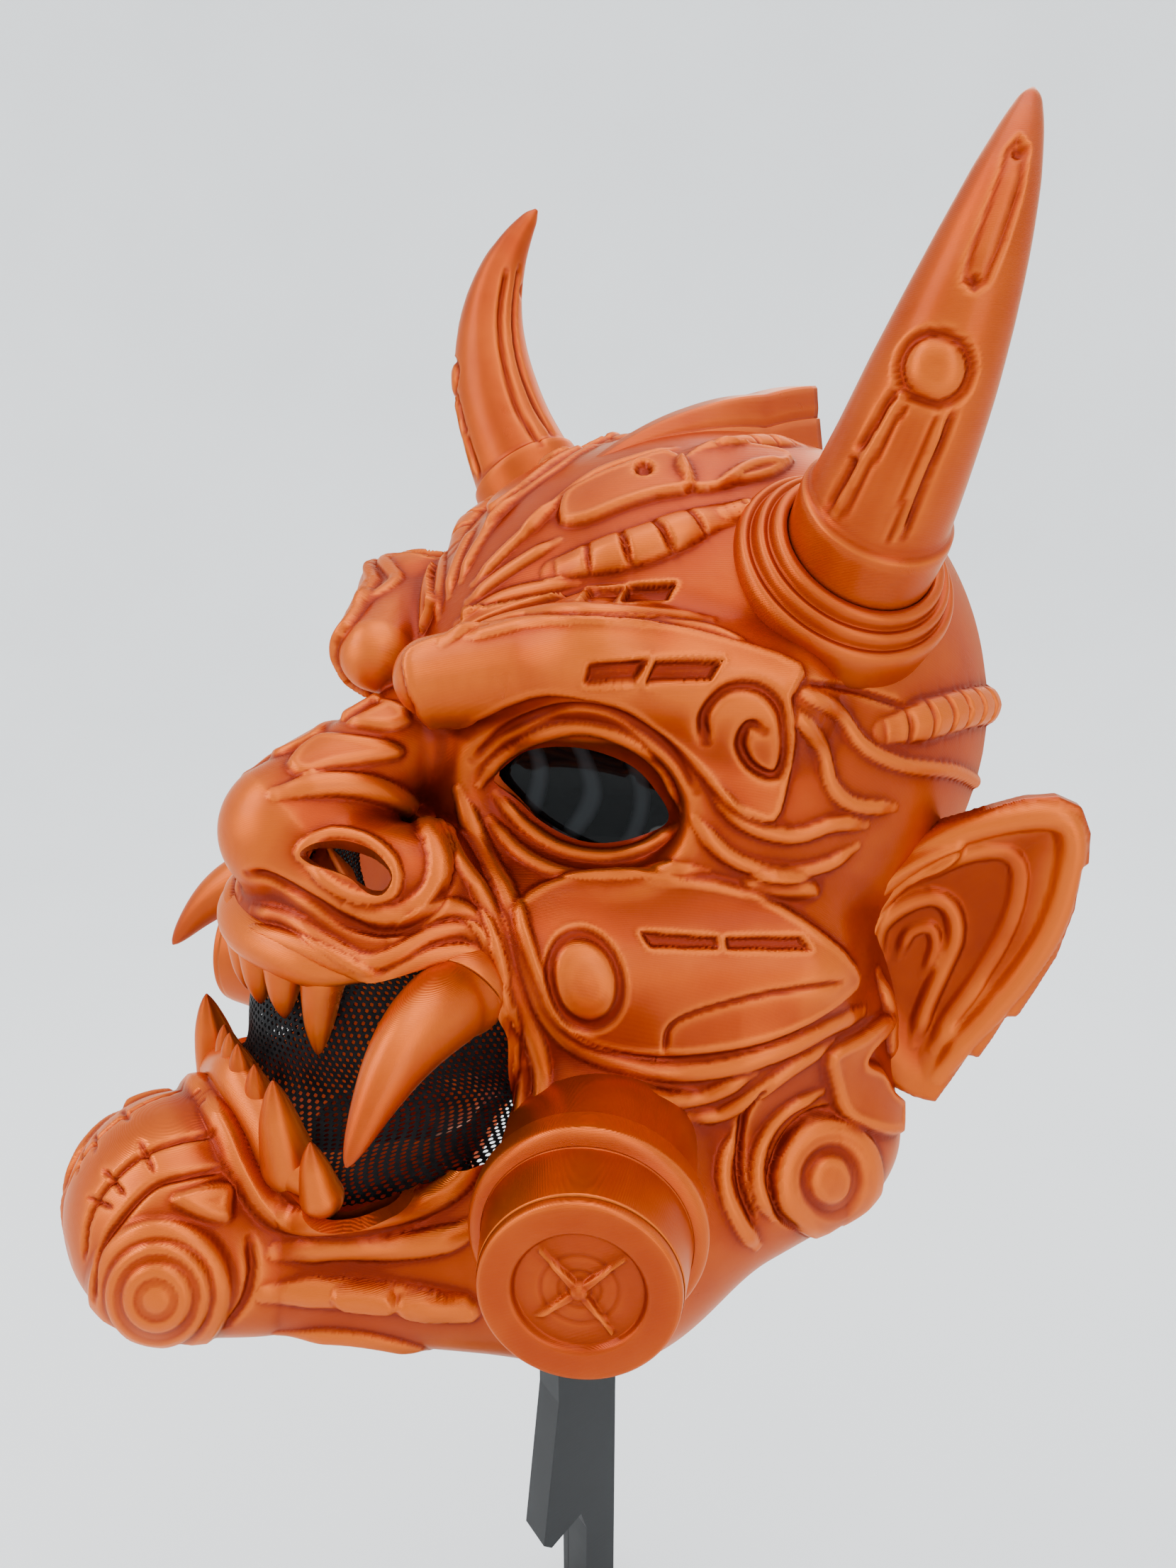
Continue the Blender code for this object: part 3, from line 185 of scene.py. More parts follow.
# What is laid over the form. Widths are half widths and all are in millimetres, places are in the
# photograph.
BEADS = (
    # name, half width, height, line
    ("upper lid", 2.4, 2.0, ((612, 1000), (640, 965), (690, 938), (745, 928), (800, 945), (845, 980),
                             (868, 1030))),
    ("lower lid", 2.4, 1.8, ((632, 1012), (668, 1052), (715, 1082), (770, 1092), (820, 1082), (862, 1056))),
    ("fold under the eye", 2.4, 1.5, ((625, 1045), (665, 1088), (720, 1114), (790, 1120), (850, 1108),
                                      (900, 1112))),
    ("cheek rim", 3.4, 2.4, ((583, 1010), (600, 1050), (622, 1095), (645, 1140), (660, 1185), (675, 1235),
                             (697, 1290), (730, 1328), (780, 1352), (850, 1366), (920, 1362), (1000, 1338),
                             (1060, 1308), (1100, 1290))),
    ("cheek fold", 3.2, 2.4, ((562, 1048), (585, 1095), (612, 1135), (632, 1180), (645, 1230), (664, 1285),
                              (684, 1335), (692, 1385), (680, 1440))),
    ("wing fold", 3.0, 2.0, ((500, 1195), (540, 1168), (580, 1158), (612, 1178), (630, 1215), (640, 1262),
                             (642, 1310))),
    ("upper lip fold", 2.6, 1.8, ((322, 1160), (370, 1172), (420, 1205), (465, 1228), (505, 1218), (550, 1192),
                                  (595, 1186), (625, 1215))),
    ("upper lip edge", 3.0, 2.4, ((305, 1186), (367, 1200), (439, 1230), (484, 1250), (514, 1240), (553, 1222),
                                  (598, 1216), (625, 1236))),
    ("lip ring", 4.4, 4.0, ((622, 1240), (641, 1280), (646, 1343), (632, 1409), (613, 1460), (583, 1508), (529, 1537),
                            (454, 1552), (385, 1557), (343, 1539), (311, 1494), (288, 1440), (258, 1393))),
    ("second lip line", 2.6, 1.8, ((664, 1330), (668, 1390), (655, 1450), (640, 1490))),
    ("nose wing", 4.0, 3.0, ((352, 1012), (415, 1000), (480, 1008), (532, 1038), (560, 1085), (556, 1132),
                             (524, 1162), (484, 1170), (448, 1156))),
    ("nostril rim", 2.0, 1.5, ((392, 1104), (384, 1084), (420, 1062), (468, 1070), (502, 1102), (500, 1138),
                               (470, 1146), (428, 1132), (392, 1104))),
    ("brow flow 1", 2.6, 1.7, ((570, 826), (630, 794), (700, 778), (770, 780), (850, 784), (906, 790))),
    ("brow flow 2", 2.4, 1.6, ((582, 796), (640, 762), (700, 748), (735, 744))),
    ("brow flow 3", 1.8, 1.1, ((600, 820), (700, 798), (800, 794), (900, 800), (960, 826))),
    ("brow flow 4", 2.6, 1.9, ((596, 768), (640, 734), (680, 708), (712, 690))),
    ("brow flow 5", 2.6, 1.9, ((604, 745), (648, 700), (690, 662), (716, 640))),
    ("crown flow 1", 2.2, 1.5, ((664, 690), (712, 640), (760, 604), (815, 584), (860, 572))),
    ("crown flow 2", 2.0, 1.4, ((915, 625), (955, 600), (1000, 592))),
    ("temple fold 1", 2.6, 2.2, ((905, 1000), (948, 1048), (1010, 1066), (1066, 1050), (1104, 1052))),
    ("temple fold 2", 2.6, 2.0, ((885, 1046), (930, 1092), (990, 1112), (1050, 1104), (1092, 1080))),
    ("temple fold 3", 2.4, 1.8, ((1010, 905), (1046, 950), (1060, 1000), (1088, 1026), (1140, 1030))),
    ("temple fold 4", 2.4, 1.8, ((1016, 880), (1066, 905), (1100, 950), (1150, 975), (1220, 985), (1262, 1010))),
    ("jaw tube 1", 4.2, 3.0, ((352, 1596), (420, 1592), (500, 1590), (570, 1580), (612, 1560))),
    ("jaw tube 2", 5.0, 3.4, ((340, 1650), (420, 1648), (500, 1654), (600, 1672))),
    ("jaw tube 3", 4.6, 3.0, ((360, 1700), (450, 1704), (540, 1720), (640, 1742))),
    ("flute 1", 3.0, 2.2, ((730, 1388), (790, 1392), (850, 1402), (905, 1396), (960, 1368))),
    ("flute 2", 3.0, 2.2, ((880, 1424), (920, 1420), (960, 1398), (1010, 1362), (1060, 1330))),
    ("jaw swirl 1", 2.6, 2.4, ((1048, 1392), (1002, 1416), (975, 1450), (965, 1490), (970, 1525), (988, 1552))),
    ("jaw swirl 2", 2.8, 2.2, ((940, 1440), (924, 1480), (926, 1520), (945, 1562), (966, 1590))),
    ("ear root fold", 3.4, 2.6, ((1120, 1240), (1135, 1290), (1138, 1340), (1160, 1390))),
)
GROOVES = (
    # name, half width, depth, line
    ("lid crease", 2.4, 1.4, ((602, 970), (650, 928), (720, 902), (790, 912), (850, 955), (886, 1010))),
    ("cheek panel line", 1.3, 1.0, ((846, 1338), (862, 1298), (960, 1268), (1066, 1250))),
    ("nose crease", 2.6, 1.8, ((316, 1116), (346, 1120), (400, 1150), (452, 1180), (510, 1186), (548, 1160),
                               (575, 1120))),
    ("brow curl", 2.4, 2.2, ((900, 940), (898, 905), (926, 878), (966, 878), (994, 904), (1000, 950), (986, 984),
                             (958, 974), (944, 944), (954, 920), (974, 926))),
    ("chin line 1", 1.6, 1.5, ((107, 1603), (113, 1555), (135, 1514), (179, 1474), (227, 1455), (272, 1448))),
    ("chin line 2", 1.8, 1.6, ((128, 1651), (130, 1599), (152, 1558), (194, 1514), (238, 1500), (283, 1492))),
    ("chin line 3", 2.0, 1.6, ((318, 1580), (322, 1620), (312, 1660), (290, 1690))),
    ("chin tile 1", 1.2, 1.2, ((112, 1528), (142, 1540))),
    ("chin tile 2", 1.2, 1.2, ((132, 1492), (158, 1524))),
    ("chin tile 3", 1.2, 1.2, ((178, 1456), (196, 1494))),
    ("temple line", 1.6, 1.2, ((1030, 870), (1090, 880), (1150, 900))),
    ("jaw crease 1", 1.7, 1.9, ((1059, 1413), (1027, 1424), (1001, 1450), (985, 1486), (982, 1518), (993, 1547),
                                (1017, 1566))),
    ("jaw crease 2", 1.9, 2.2, ((978, 1384), (953, 1415), (945, 1440), (942, 1478), (946, 1518), (961, 1558))),
)
HOSES = (
    # name, half width, height, pitch, line
    ("brow hose", 7.0, 5.2, 11.5, ((706, 728), (746, 716), (788, 706), (838, 690), (889, 668), (930, 655))),
    ("hose neck", 5.0, 4.2, 3.0, ((926, 656), (950, 650), (985, 650))),
    ("back hose", 6.4, 5.0, 9.5, ((1126, 934), (1180, 918), (1240, 902), (1286, 898))),
    ("vertebrae", 5.0, 2.6, 9.0, ((880, 580), (920, 570), (970, 564), (1020, 566))),
)
PLATES = (
    # name, height, edge, outline
    ("brow plate", 3.0, 1.1, ((518, 842), (567, 816), (669, 793), (750, 792), (827, 798), (906, 814), (1019, 850),
                              (1008, 890), (1012, 935), (1004, 990), (985, 1046), (935, 1030), (890, 985), (850, 938),
                              (800, 902), (740, 886), (680, 886), (584, 918), (543, 914))),
    ("leaf plate", 2.6, 1.2, ((717, 668), (722, 636), (760, 613), (793, 600), (844, 582), (872, 592), (882, 626),
                              (838, 636), (793, 650), (748, 668))),
    ("small leaf", 2.0, 1.0, ((864, 604), (880, 582), (923, 571), (985, 576), (1010, 588), (985, 608), (934, 620),
                              (890, 628))),
    ("cheek plate", 2.4, 1.4, ((656, 1166), (690, 1130), (760, 1114), (850, 1114), (940, 1128), (1020, 1170),
                               (1092, 1240), (1050, 1290), (980, 1326), (900, 1342), (810, 1344), (745, 1326),
                               (702, 1288), (676, 1230))),
    ("bridge plate 1", 1.8, 1.3, ((368, 976), (388, 952), (416, 938), (455, 940), (492, 946), (512, 956),
                                  (506, 966), (470, 972), (425, 980), (388, 990))),
    ("bridge plate 2", 1.8, 1.3, ((442, 906), (466, 897), (496, 895), (518, 904), (522, 920), (500, 930),
                                  (468, 928), (444, 922))),
    ("temple lump", 2.2, 2.0, ((948, 1122), (985, 1108), (1030, 1120), (1040, 1140), (1000, 1144), (960, 1138))),
    ("jaw lobe", 3.0, 1.4, ((1054, 1343), (1059, 1385), (1072, 1420), (1101, 1438), (1133, 1446), (1160, 1436),
                            (1150, 1408), (1132, 1388), (1120, 1362), (1102, 1352), (1107, 1338), (1130, 1312),
                            (1128, 1294), (1098, 1316))),
    ("chin wedge", 2.4, 1.6, ((222, 1530), (252, 1516), (292, 1512), (294, 1536), (288, 1556), (252, 1550))),
    ("jaw plate 1", 1.8, 1.2, ((430, 1640), (496, 1642), (500, 1668), (440, 1664))),
    ("jaw plate 2", 1.8, 1.2, ((516, 1648), (596, 1652), (604, 1682), (520, 1676))),
)
SLOTS = (
    # name, depth, edge, outline
    ("brow slot 1", 2.4, 0.9, ((752, 846), (822, 842), (808, 866), (748, 868))),
    ("brow slot 2", 2.4, 0.9, ((834, 844), (918, 846), (904, 868), (822, 868))),
    ("upper slot 1", 2.2, 0.9, ((750, 752), (794, 750), (784, 768), (738, 768))),
    ("upper slot 2", 2.2, 0.9, ((802, 748), (862, 744), (850, 765), (793, 768))),
    ("cheek slot 1", 1.6, 0.9, ((816, 1190), (912, 1196), (914, 1210), (828, 1208))),
    ("cheek slot 2", 1.6, 0.9, ((924, 1196), (1018, 1196), (1030, 1212), (926, 1210))),
)
BOSSES = (
    # name, centre, radii, tilt in degrees, profile of radius share and height
    ("cheek boss", (745, 1248), (56, 72), -20, ((0.0, 1.9), (0.35, 1.7), (0.60, 0.9), (0.72, -0.8), (0.84, -0.9),
                                                (0.94, 0.3), (1.0, 0.0))),
    ("chin boss", (205, 1645), (98, 98), 0, ((0.0, 5.4), (0.10, 5.2), (0.16, 4.6), (0.24, 4.4), (0.29, 4.9),
                                             (0.36, 4.7), (0.42, 3.4), (0.50, 3.4), (0.55, 3.9), (0.60, 3.6),
                                             (0.66, 2.2), (0.74, 2.6), (0.86, 2.2), (0.93, 0.6), (1.0, 0.0))),
    ("jaw corner boss", (1056, 1502), (70, 80), 10, ((0.0, 3.0), (0.30, 2.8), (0.40, 1.4), (0.50, 1.2), (0.62, 2.4),
                                                     (0.78, 2.8), (0.92, 2.2), (1.0, 0.0))),
    ("leaf pit", (822, 606), (15, 13), 0, ((0.0, -2.2), (0.55, -2.0), (0.85, 0.4), (1.0, 0.0))),
)

# Fineness of the face: distance between the lattice points that it is traced on, and their span
FACE_PITCH = 0.00096
INSIDE_PITCH = 0.0030
BLOCK = 8
LATTICE_LOW = (0.0, -0.62, -0.14)
LATTICE_HIGH = (1.26, 0.80, 1.14)
PAST_RIM = 0.006
FACE_SPLIT = 0.50
RELAX_ROUNDS = 4
# Corners nearer to an opening's edge than this share of a side move onto it
SNAP_SHARE = 0.22
# The edges of the openings run this many walls inwards
EDGE_REACH = 1.15

# Mouth mesh: points of its depth table across and up and how often that is smoothed, rows of holes
# as a share of the pitch, gap behind the wall, and how far back it may lie as a share of HEAD_DEPTH
MESH_TABLE = (90, 50)
MESH_BLURS = 24
MESH_ROW = 0.866
MESH_GAP = 0.0009
MESH_BACK = 0.02
LENS_GAP = 0.0012


def across(share):
    return share * HALF_WIDTH


def place(shares):
    """World place of a point given as shares of the mask's three sizes."""
    return np.array((across(shares[0]), shares[1] * HEAD_DEPTH + SHIFT, JAW_HEIGHT + shares[2] * HEAD_HEIGHT))


def unit(vectors):
    vectors = np.asarray(vectors, float)
    return vectors / np.maximum(np.linalg.norm(vectors, axis=-1, keepdims=True), 1e-12)


def smooth_step(value):
    value = np.clip(value, 0.0, 1.0)
    return value * value * (3.0 - 2.0 * value)


def smooth_union(a, b, blend):
    share = np.clip(0.5 + 0.5 * (b - a) / blend, 0.0, 1.0)
    return b + (a - b) * share - blend * share * (1.0 - share)


def ellipsoid_distance(points, centre, radii):
    scaled = (points - centre) / radii
    near = np.linalg.norm(scaled, axis=-1)
    far = np.linalg.norm(scaled / radii, axis=-1)
    return near * (near - 1.0) / np.maximum(far, 1e-9)


def limb_distance(points, start, end, start_radius, end_radius):
    run = end - start
    along = np.clip(((points - start) @ run) / (run @ run), 0.0, 1.0)
    nearest = start + along[..., None] * run
    return np.linalg.norm(points - nearest, axis=-1) - (start_radius + (end_radius - start_radius) * along)


def form_distance(points):
    """Distance from the blended masses of the head; the form is the same on both sides."""
    points = np.array(points)
    points[..., 0] = np.abs(points[..., 0])
    distance = None
    for _, centre, radii, blend in ELLIPSOIDS:
        sizes = np.array((across(radii[0]), radii[1] * HEAD_DEPTH, radii[2] * HEAD_HEIGHT))
        mass = ellipsoid_distance(points, place(centre), sizes)
        distance = mass if distance is None else smooth_union(distance, mass, across(blend))
    for _, start, end, start_radius, end_radius, blend in LIMBS:
        mass = limb_distance(points, place(start), place(end), across(start_radius), across(end_radius))
        distance = smooth_union(distance, mass, across(blend))
    for _, start, end, start_radius, end_radius, blend in HOLLOWS:
        mass = limb_distance(points, place(start), place(end), across(start_radius), across(end_radius))
        distance = -smooth_union(-distance, mass, across(blend))
    return distance


def form_normals(points):
    step = 0.0005
    gradient = np.stack([
        form_distance(points + step * axis) - form_distance(points - step * axis) for axis in np.eye(3)
    ], axis=-1)
    return unit(gradient)


def spot(shares):
    """The form's surface point under a place given in shares, seen from the head's centre."""
    centre = place(STAR_CENTRE)
    direction = unit(place(shares) - centre)[None, :]
    reach = np.full(1, HEAD_DEPTH * 1.15)
    for _ in range(RAY_STEPS):
        reach -= np.clip(form_distance(centre + direction * reach[:, None]), -0.02, 0.02) * 0.8
    return (centre + direction * reach[:, None])[0]


def front_spot(x, z):
    """The foremost point of the form at shares across and up, and its normal."""
    point = place((x, -0.75, z))[None, :]
    for _ in range(RAY_STEPS):
        point = point + form_distance(point)[:, None] * 0.9 * np.array((0.0, 1.0, 0.0))
    return point[0], form_normals(point)[0]


def rim_field(points):
    """Distance inside the rim of the mask, negative past it."""
    offset = points - place(STAR_CENTRE)
    reach = np.linalg.norm(offset, axis=-1)
    angle = np.arccos(np.clip(offset @ FACE_AHEAD / reach, -1.0, 1.0))
    turn = np.degrees(np.arctan2(offset @ FACE_ABOVE, np.abs(offset[..., 0])))
    rim = np.radians(np.interp(turn, [row[0] for row in RIM], [row[1] for row in RIM]))
    return (rim - angle) * reach


def lattice_values(pitch):
    """Distances from the form on a cubic lattice over one half of the head, exact near the face."""
    low, high = place(LATTICE_LOW), place(LATTICE_HIGH)
    low[0] = -pitch / 2.0
    blocks = np.ceil((high - low) / (pitch * BLOCK)).astype(int)
    corners = [low[axis] + pitch * BLOCK * np.arange(blocks[axis]) for axis in range(3)]
    corner = np.stack(np.meshgrid(*corners, indexing="ij"), axis=-1)
    middle = corner + pitch * (BLOCK - 1) / 2.0
    rough = form_distance(middle)
    value = np.empty((blocks[0], BLOCK, blocks[1], BLOCK, blocks[2], BLOCK), np.float32)
    value[:] = rough[:, None, :, None, :, None]
    near = (np.abs(rough) < 1.1 * pitch * BLOCK) & (rim_field(middle) > -PAST_RIM - pitch * BLOCK)
    i, j, k = np.nonzero(near)
    step = pitch * np.arange(BLOCK)
    inner = np.stack(np.meshgrid(step, step, step, indexing="ij"), axis=-1)
    for first in range(0, len(i), 400):
        some = slice(first, first + 400)
        points = corner[i[some], j[some], k[some]][:, None, None, None] + inner
        value[i[some], :, j[some], :, k[some], :] = form_distance(points)
    return low, value.reshape(tuple(blocks * BLOCK))


def lattice_quads(value):
    """Cells that the zero surface crosses, and the quads that join them, facing outwards."""
    inside = value < 0.0
    first = inside[:-1, :-1, :-1]
    mixed = np.zeros(first.shape, bool)
    for x, y, z in ((0, 0, 1), (0, 1, 0), (0, 1, 1), (1, 0, 0), (1, 0, 1), (1, 1, 0), (1, 1, 1)):
        ends = [size - 1 + offset for size, offset in zip(inside.shape, (x, y, z))]
        mixed |= inside[x:ends[0], y:ends[1], z:ends[2]] != first
    cells = np.argwhere(mixed)
    number = np.full(mixed.shape, -1, np.int32)
    number[mixed] = np.arange(len(cells))
    found = []
    for axis in range(3):
        solid = np.moveaxis(inside, axis, 0)
        order = np.moveaxis(number, axis, 0)
        i, j, k = np.nonzero(solid[:-1, 1:-1, 1:-1] != solid[1:, 1:-1, 1:-1])
        quads = np.stack([order[i, j, k], order[i, j + 1, k], order[i, j + 1, k + 1], order[i, j, k + 1]], axis=1)
        turned = ~solid[i, j + 1, k + 1]
        if axis == 1:
            turned = ~turned
        found.append(np.where(turned[:, None], quads[:, ::-1], quads))
    return cells, np.concatenate(found)


def neighbours_of(quads, count):
    """Pairs of joined vertices, both ways round, and how many each vertex has."""
    after = np.roll(quads, -1, axis=1)
    ends = np.concatenate([quads.ravel(), after.ravel()])
    others = np.concatenate([after.ravel(), quads.ravel()])
    return ends, others, np.maximum(np.bincount(ends, minlength=count), 1)


def neighbour_mean(values, web):
    ends, others, share = web
    return np.stack([
        np.bincount(ends, weights=values[others, axis], minlength=len(values)) / share for axis in range(3)
    ], axis=-1)


def form_mesh(pitch):
    """The form's surface on one half of the face as even quads, out to a little past the rim."""
    low, value = lattice_values(pitch)
    cells, quads = lattice_quads(value)
    points = low + (cells + 0.5) * pitch
    quads = quads[rim_field(points)[quads].max(axis=1) > -PAST_RIM]
    used = np.unique(quads)
    lookup = np.full(len(points), -1)
    lookup[used] = np.arange(len(used))
    points, quads = points[used], lookup[quads]
    middle = cells[used, 0] == 0
    web = neighbours_of(quads, len(points))
    for turn in range(RELAX_ROUNDS):
        if turn > 1:
            points = 0.5 * points + 0.5 * neighbour_mean(points, web)
        points[middle, 0] = 0.0
        away = np.clip(form_distance(points), -pitch, pitch)
        points = points - away[:, None] * form_normals(points)
    points[middle, 0] = 0.0
    return points, quads, middle, web


def ray_of(pixels):
    pixels = np.asarray(pixels, float)
    across_ray = (pixels[:, :1] - PHOTO_WIDTH / 2.0) / PHOTO_FOCUS
    up_ray = (PHOTO_HEIGHT / 2.0 - pixels[:, 1:2]) / PHOTO_FOCUS
    return unit(across_ray * RIGHT + up_ray * UPWARD - BACK)


def in_photo(points):
    """Where points show in the photograph."""
    offset = points - CAMERA_PLACE
    depth = -(offset @ BACK)
    x = PHOTO_WIDTH / 2.0 + PHOTO_FOCUS * (offset @ RIGHT) / depth
    y = PHOTO_HEIGHT / 2.0 - PHOTO_FOCUS * (offset @ UPWARD) / depth
    return np.stack([x, y], axis=-1)


def on_form(pixels):
    """Points of the form that show at places in the photograph, on the near half."""
    rays = ray_of(pixels)
    points = CAMERA_PLACE + rays * 0.12
    for _ in range(90):
        points = points + np.clip(form_distance(points), -0.02, 0.03)[:, None] * 0.7 * rays
    hit = np.abs(form_distance(points)) < 0.002
    points[:, 0] = np.abs(points[:, 0])
    return points[hit]


def smooth_line(corners, steps=6, closed=False):
    """Catmull-Rom line through corners."""
    corners = np.asarray(corners, float)
    if closed:
        padded = np.concatenate([corners[-1:], corners, corners[:2]])
    else:
        padded = np.concatenate([2.0 * corners[:1] - corners[1:2], corners, 2.0 * corners[-1:] - corners[-2:-1]])
    pieces = []
    t = np.linspace(0.0, 1.0, steps, endpoint=False)[:, None]
    for index in range(len(padded) - 3):
        before, first, second, after = padded[index:index + 4]
        pieces.append(first + 0.5 * t * (second - before + t * (
            2.0 * before - 5.0 * first + 4.0 * second - after + t * (3.0 * (first - second) + after - before))))
    if not closed:
        pieces.append(padded[-2:-1])
    return np.concatenate(pieces)


def nearest_on_line(points, line):
    """Distance to a line, length along it, and the line's whole length."""
    best = np.full(len(points), 1e9)
    along = np.zeros(len(points))
    run = 0.0
    for start, end in zip(line[:-1], line[1:]):
        step = end - start
        length = np.linalg.norm(step)
        if length < 1e-9:
            continue
        share = np.clip(((points - start) @ step) / (length * length), 0.0, 1.0)
        distance = np.linalg.norm(points - start - share[:, None] * step, axis=-1)
        closer = distance < best
        best = np.where(closer, distance, best)
        along = np.where(closer, run + share * length, along)
        run += length
    return best, along, run


def ring_distance(points, outline):
    """Distance to a closed outline."""
    return nearest_on_line(points, np.concatenate([outline, outline[:1]]))[0]


def inside_outline(points, outline):
    """Whether 2D points lie inside a closed outline."""
    inside = np.zeros(len(points), bool)
    x, y = points[:, 0], points[:, 1]
    for (x0, y0), (x1, y1) in zip(outline, np.roll(outline, -1, axis=0)):
        crosses = (y0 > y) != (y1 > y)
        if y1 != y0:
            inside ^= crosses & (x < (x1 - x0) * (y - y0) / (y1 - y0) + x0)
    return inside


def face_plan(points):
    """Directions of points from the head's centre, laid flat round the face's axis."""
    rays = unit(points - place(STAR_CENTRE))
    angle = np.arccos(np.clip(rays @ FACE_AHEAD, -1.0, 1.0))
    turn = np.arctan2(rays @ FACE_ABOVE, rays[:, 0])
    return np.stack([angle * np.cos(turn), angle * np.sin(turn)], axis=-1)


def near_line(points, line, reach):
    if len(line) < 2:
        return np.zeros(0, int)
    low = line.min(axis=0) - reach
    high = line.max(axis=0) + reach
    return np.nonzero(np.all((points > low) & (points < high), axis=-1))[0]


def bead_height(distance, along, length, half_width, height):
    """Round bead with creased sides that runs out at its ends."""
    ends = np.minimum(along, length - along) / (3.0 * half_width)
    taper = 0.25 + 0.75 * smooth_step(ends)
    share = np.clip(distance / (half_width * (0.55 + 0.45 * taper)), 0.0, 1.0)
    crown = np.sqrt(1.0 - share * share)
    skirt = np.clip(1.0 - distance / (2.2 * half_width), 0.0, 1.0) ** 2
    return height * taper * (0.80 * crown + 0.20 * skirt)


class Relief:
    """Heights laid over a surface of points, in metres along its normals."""

    def __init__(self, points, normals, lay):
        self.points = points
        self.normals = normals
        self.pixels = in_photo(points)
        self.height = np.zeros(len(points))
        self.lay = lay
        toward = unit(CAMERA_PLACE - points)
        self.seen = smooth_step(np.sum(toward * normals, axis=-1) / 0.2)

    def line(self, corners, closed=False):
        return self.lay(smooth_line(corners, closed=closed))

    def beads(self, rows):
        for _, half_width, height, corners in rows:
            line = self.line(corners)
            chosen = near_line(self.points, line, 3.0 * half_width * MM)
            distance, along, length = nearest_on_line(self.points[chosen], line)
            self.height[chosen] += bead_height(distance, along, length, half_width * MM, height * MM)

    def grooves(self, rows):
        for _, half_width, depth, corners in rows:
            line = self.line(corners)
            chosen = near_line(self.points, line, 2.0 * half_width * MM)
            distance, along, length = nearest_on_line(self.points[chosen], line)
            share = np.clip(1.0 - (distance / (half_width * MM)) ** 2, 0.0, 1.0)
            taper = smooth_step(np.minimum(along, length - along) / (2.0 * half_width * MM))
            self.height[chosen] -= depth * MM * share ** 1.5 * (0.3 + 0.7 * taper)

    def hoses(self, rows):
        for _, half_width, height, pitch, corners in rows:
            line = self.line(corners)
            chosen = near_line(self.points, line, 3.0 * half_width * MM)
            distance, along, length = nearest_on_line(self.points[chosen], line)
            bead = bead_height(distance, along, length, half_width * MM, height * MM)
            count = max(round(length / (pitch * MM)), 1)
            phase = np.abs((along / length * count) % 1.0 - 0.5) * 2.0
            cut = smooth_step((phase - 0.72) / 0.22)
            self.height[chosen] += bead * (1.0 - 0.42 * cut)

    def region(self, line, edge):
        """Points near an outline, how far inside it they lie in edge widths, and how far they face its way."""
        chosen = near_line(self.points, line, 4.0 * edge)
        middle = line.mean(axis=0)
        plane = np.linalg.svd(line - middle, full_matrices=False)[2]
        near_normals = self.normals[chosen]
        way = plane[2] * np.sign(np.sum(near_normals @ plane[2]))
        distance = ring_distance(self.points[chosen], line)
        inside = inside_outline((self.points[chosen] - middle) @ plane[:2].T, (line - middle) @ plane[:2].T)
        facing = smooth_step((near_normals @ way) / 0.4)
        return chosen, np.where(inside, distance, -distance) / edge, facing

    def plates(self, rows):
        for _, height, edge, outline in rows:
            line = self.lay(smooth_line(outline, 3, closed=True))
            chosen, inwards, facing = self.region(line, edge * MM)
            raised = smooth_step(0.5 + 0.5 * inwards) * facing
            lip = np.exp(-((inwards - 1.6) / 0.8) ** 2) * 0.12
            self.height[chosen] += height * MM * (raised + lip * raised)

    def slots(self, rows):
        for _, depth, edge, outline in rows:
            outline = np.asarray(outline, float)
            corners = np.concatenate([outline, outline[:1]])
            dense = np.concatenate([np.linspace(a, b, 8, endpoint=False) for a, b in zip(corners[:-1], corners[1:])])
            chosen, inwards, facing = self.region(self.lay(dense), edge * MM)
            rim = np.exp(-((inwards + 1.0) / 0.7) ** 2) * 0.16
            self.height[chosen] += depth * MM * (rim - smooth_step(0.5 + inwards)) * facing

    def bosses(self, rows):
        for _, centre, radii, tilt, profile in rows:
            middle = self.lay(np.array([centre], float))
            if not len(middle):
                continue
            reach = 1.6 * max(radii) / PHOTO_FOCUS * np.linalg.norm(middle[0] - CAMERA_PLACE)
            near = np.nonzero(np.linalg.norm(self.points - middle[0], axis=-1) < reach)[0]
            offset = self.pixels[near] - np.array(centre, float)
            turn = math.radians(tilt)
            x = offset[:, 0] * math.cos(turn) + offset[:, 1] * math.sin(turn)
            y = offset[:, 1] * math.cos(turn) - offset[:, 0] * math.sin(turn)
            share = np.hypot(x / radii[0], y / radii[1])
            height = np.interp(share, [row[0] for row in profile], [row[1] for row in profile], right=0.0)
            self.height[near] += height * MM * self.seen[near]


def make_mesh(name, points, blocks, normals=None, relief=None, smooth=True):
    """Mesh from points and blocks of faces, each block with its own number of corners."""
    mesh = bpy.data.meshes.new(name)
    blocks = [np.asarray(block, np.int32) for block in blocks if len(block)]
    corners = np.concatenate([block.ravel() for block in blocks])
    counts = np.concatenate([np.full(len(block), block.shape[1]) for block in blocks])
    starts = np.concatenate([[0], np.cumsum(counts)[:-1]])
    mesh.vertices.add(len(points))
    mesh.vertices.foreach_set("co", np.asarray(points, np.float32).ravel())
    mesh.loops.add(len(corners))
    mesh.loops.foreach_set("vertex_index", corners)
    mesh.polygons.add(len(counts))
    mesh.polygons.foreach_set("loop_start", starts.astype(np.int32))
    mesh.update(calc_edges=True)
    mesh.polygons.foreach_set("use_smooth", np.full(len(counts), smooth))
    # The relief attribute carries the painted shade and highlight level that the silk colour ramp reads.
    if relief is not None:
        attribute = mesh.attributes.new("relief", "FLOAT", "POINT")
        attribute.data.foreach_set("value", np.asarray(relief, np.float32))
    if normals is not None:
        mesh.normals_split_custom_set_from_vertices(np.asarray(normals, float).tolist())
    return mesh


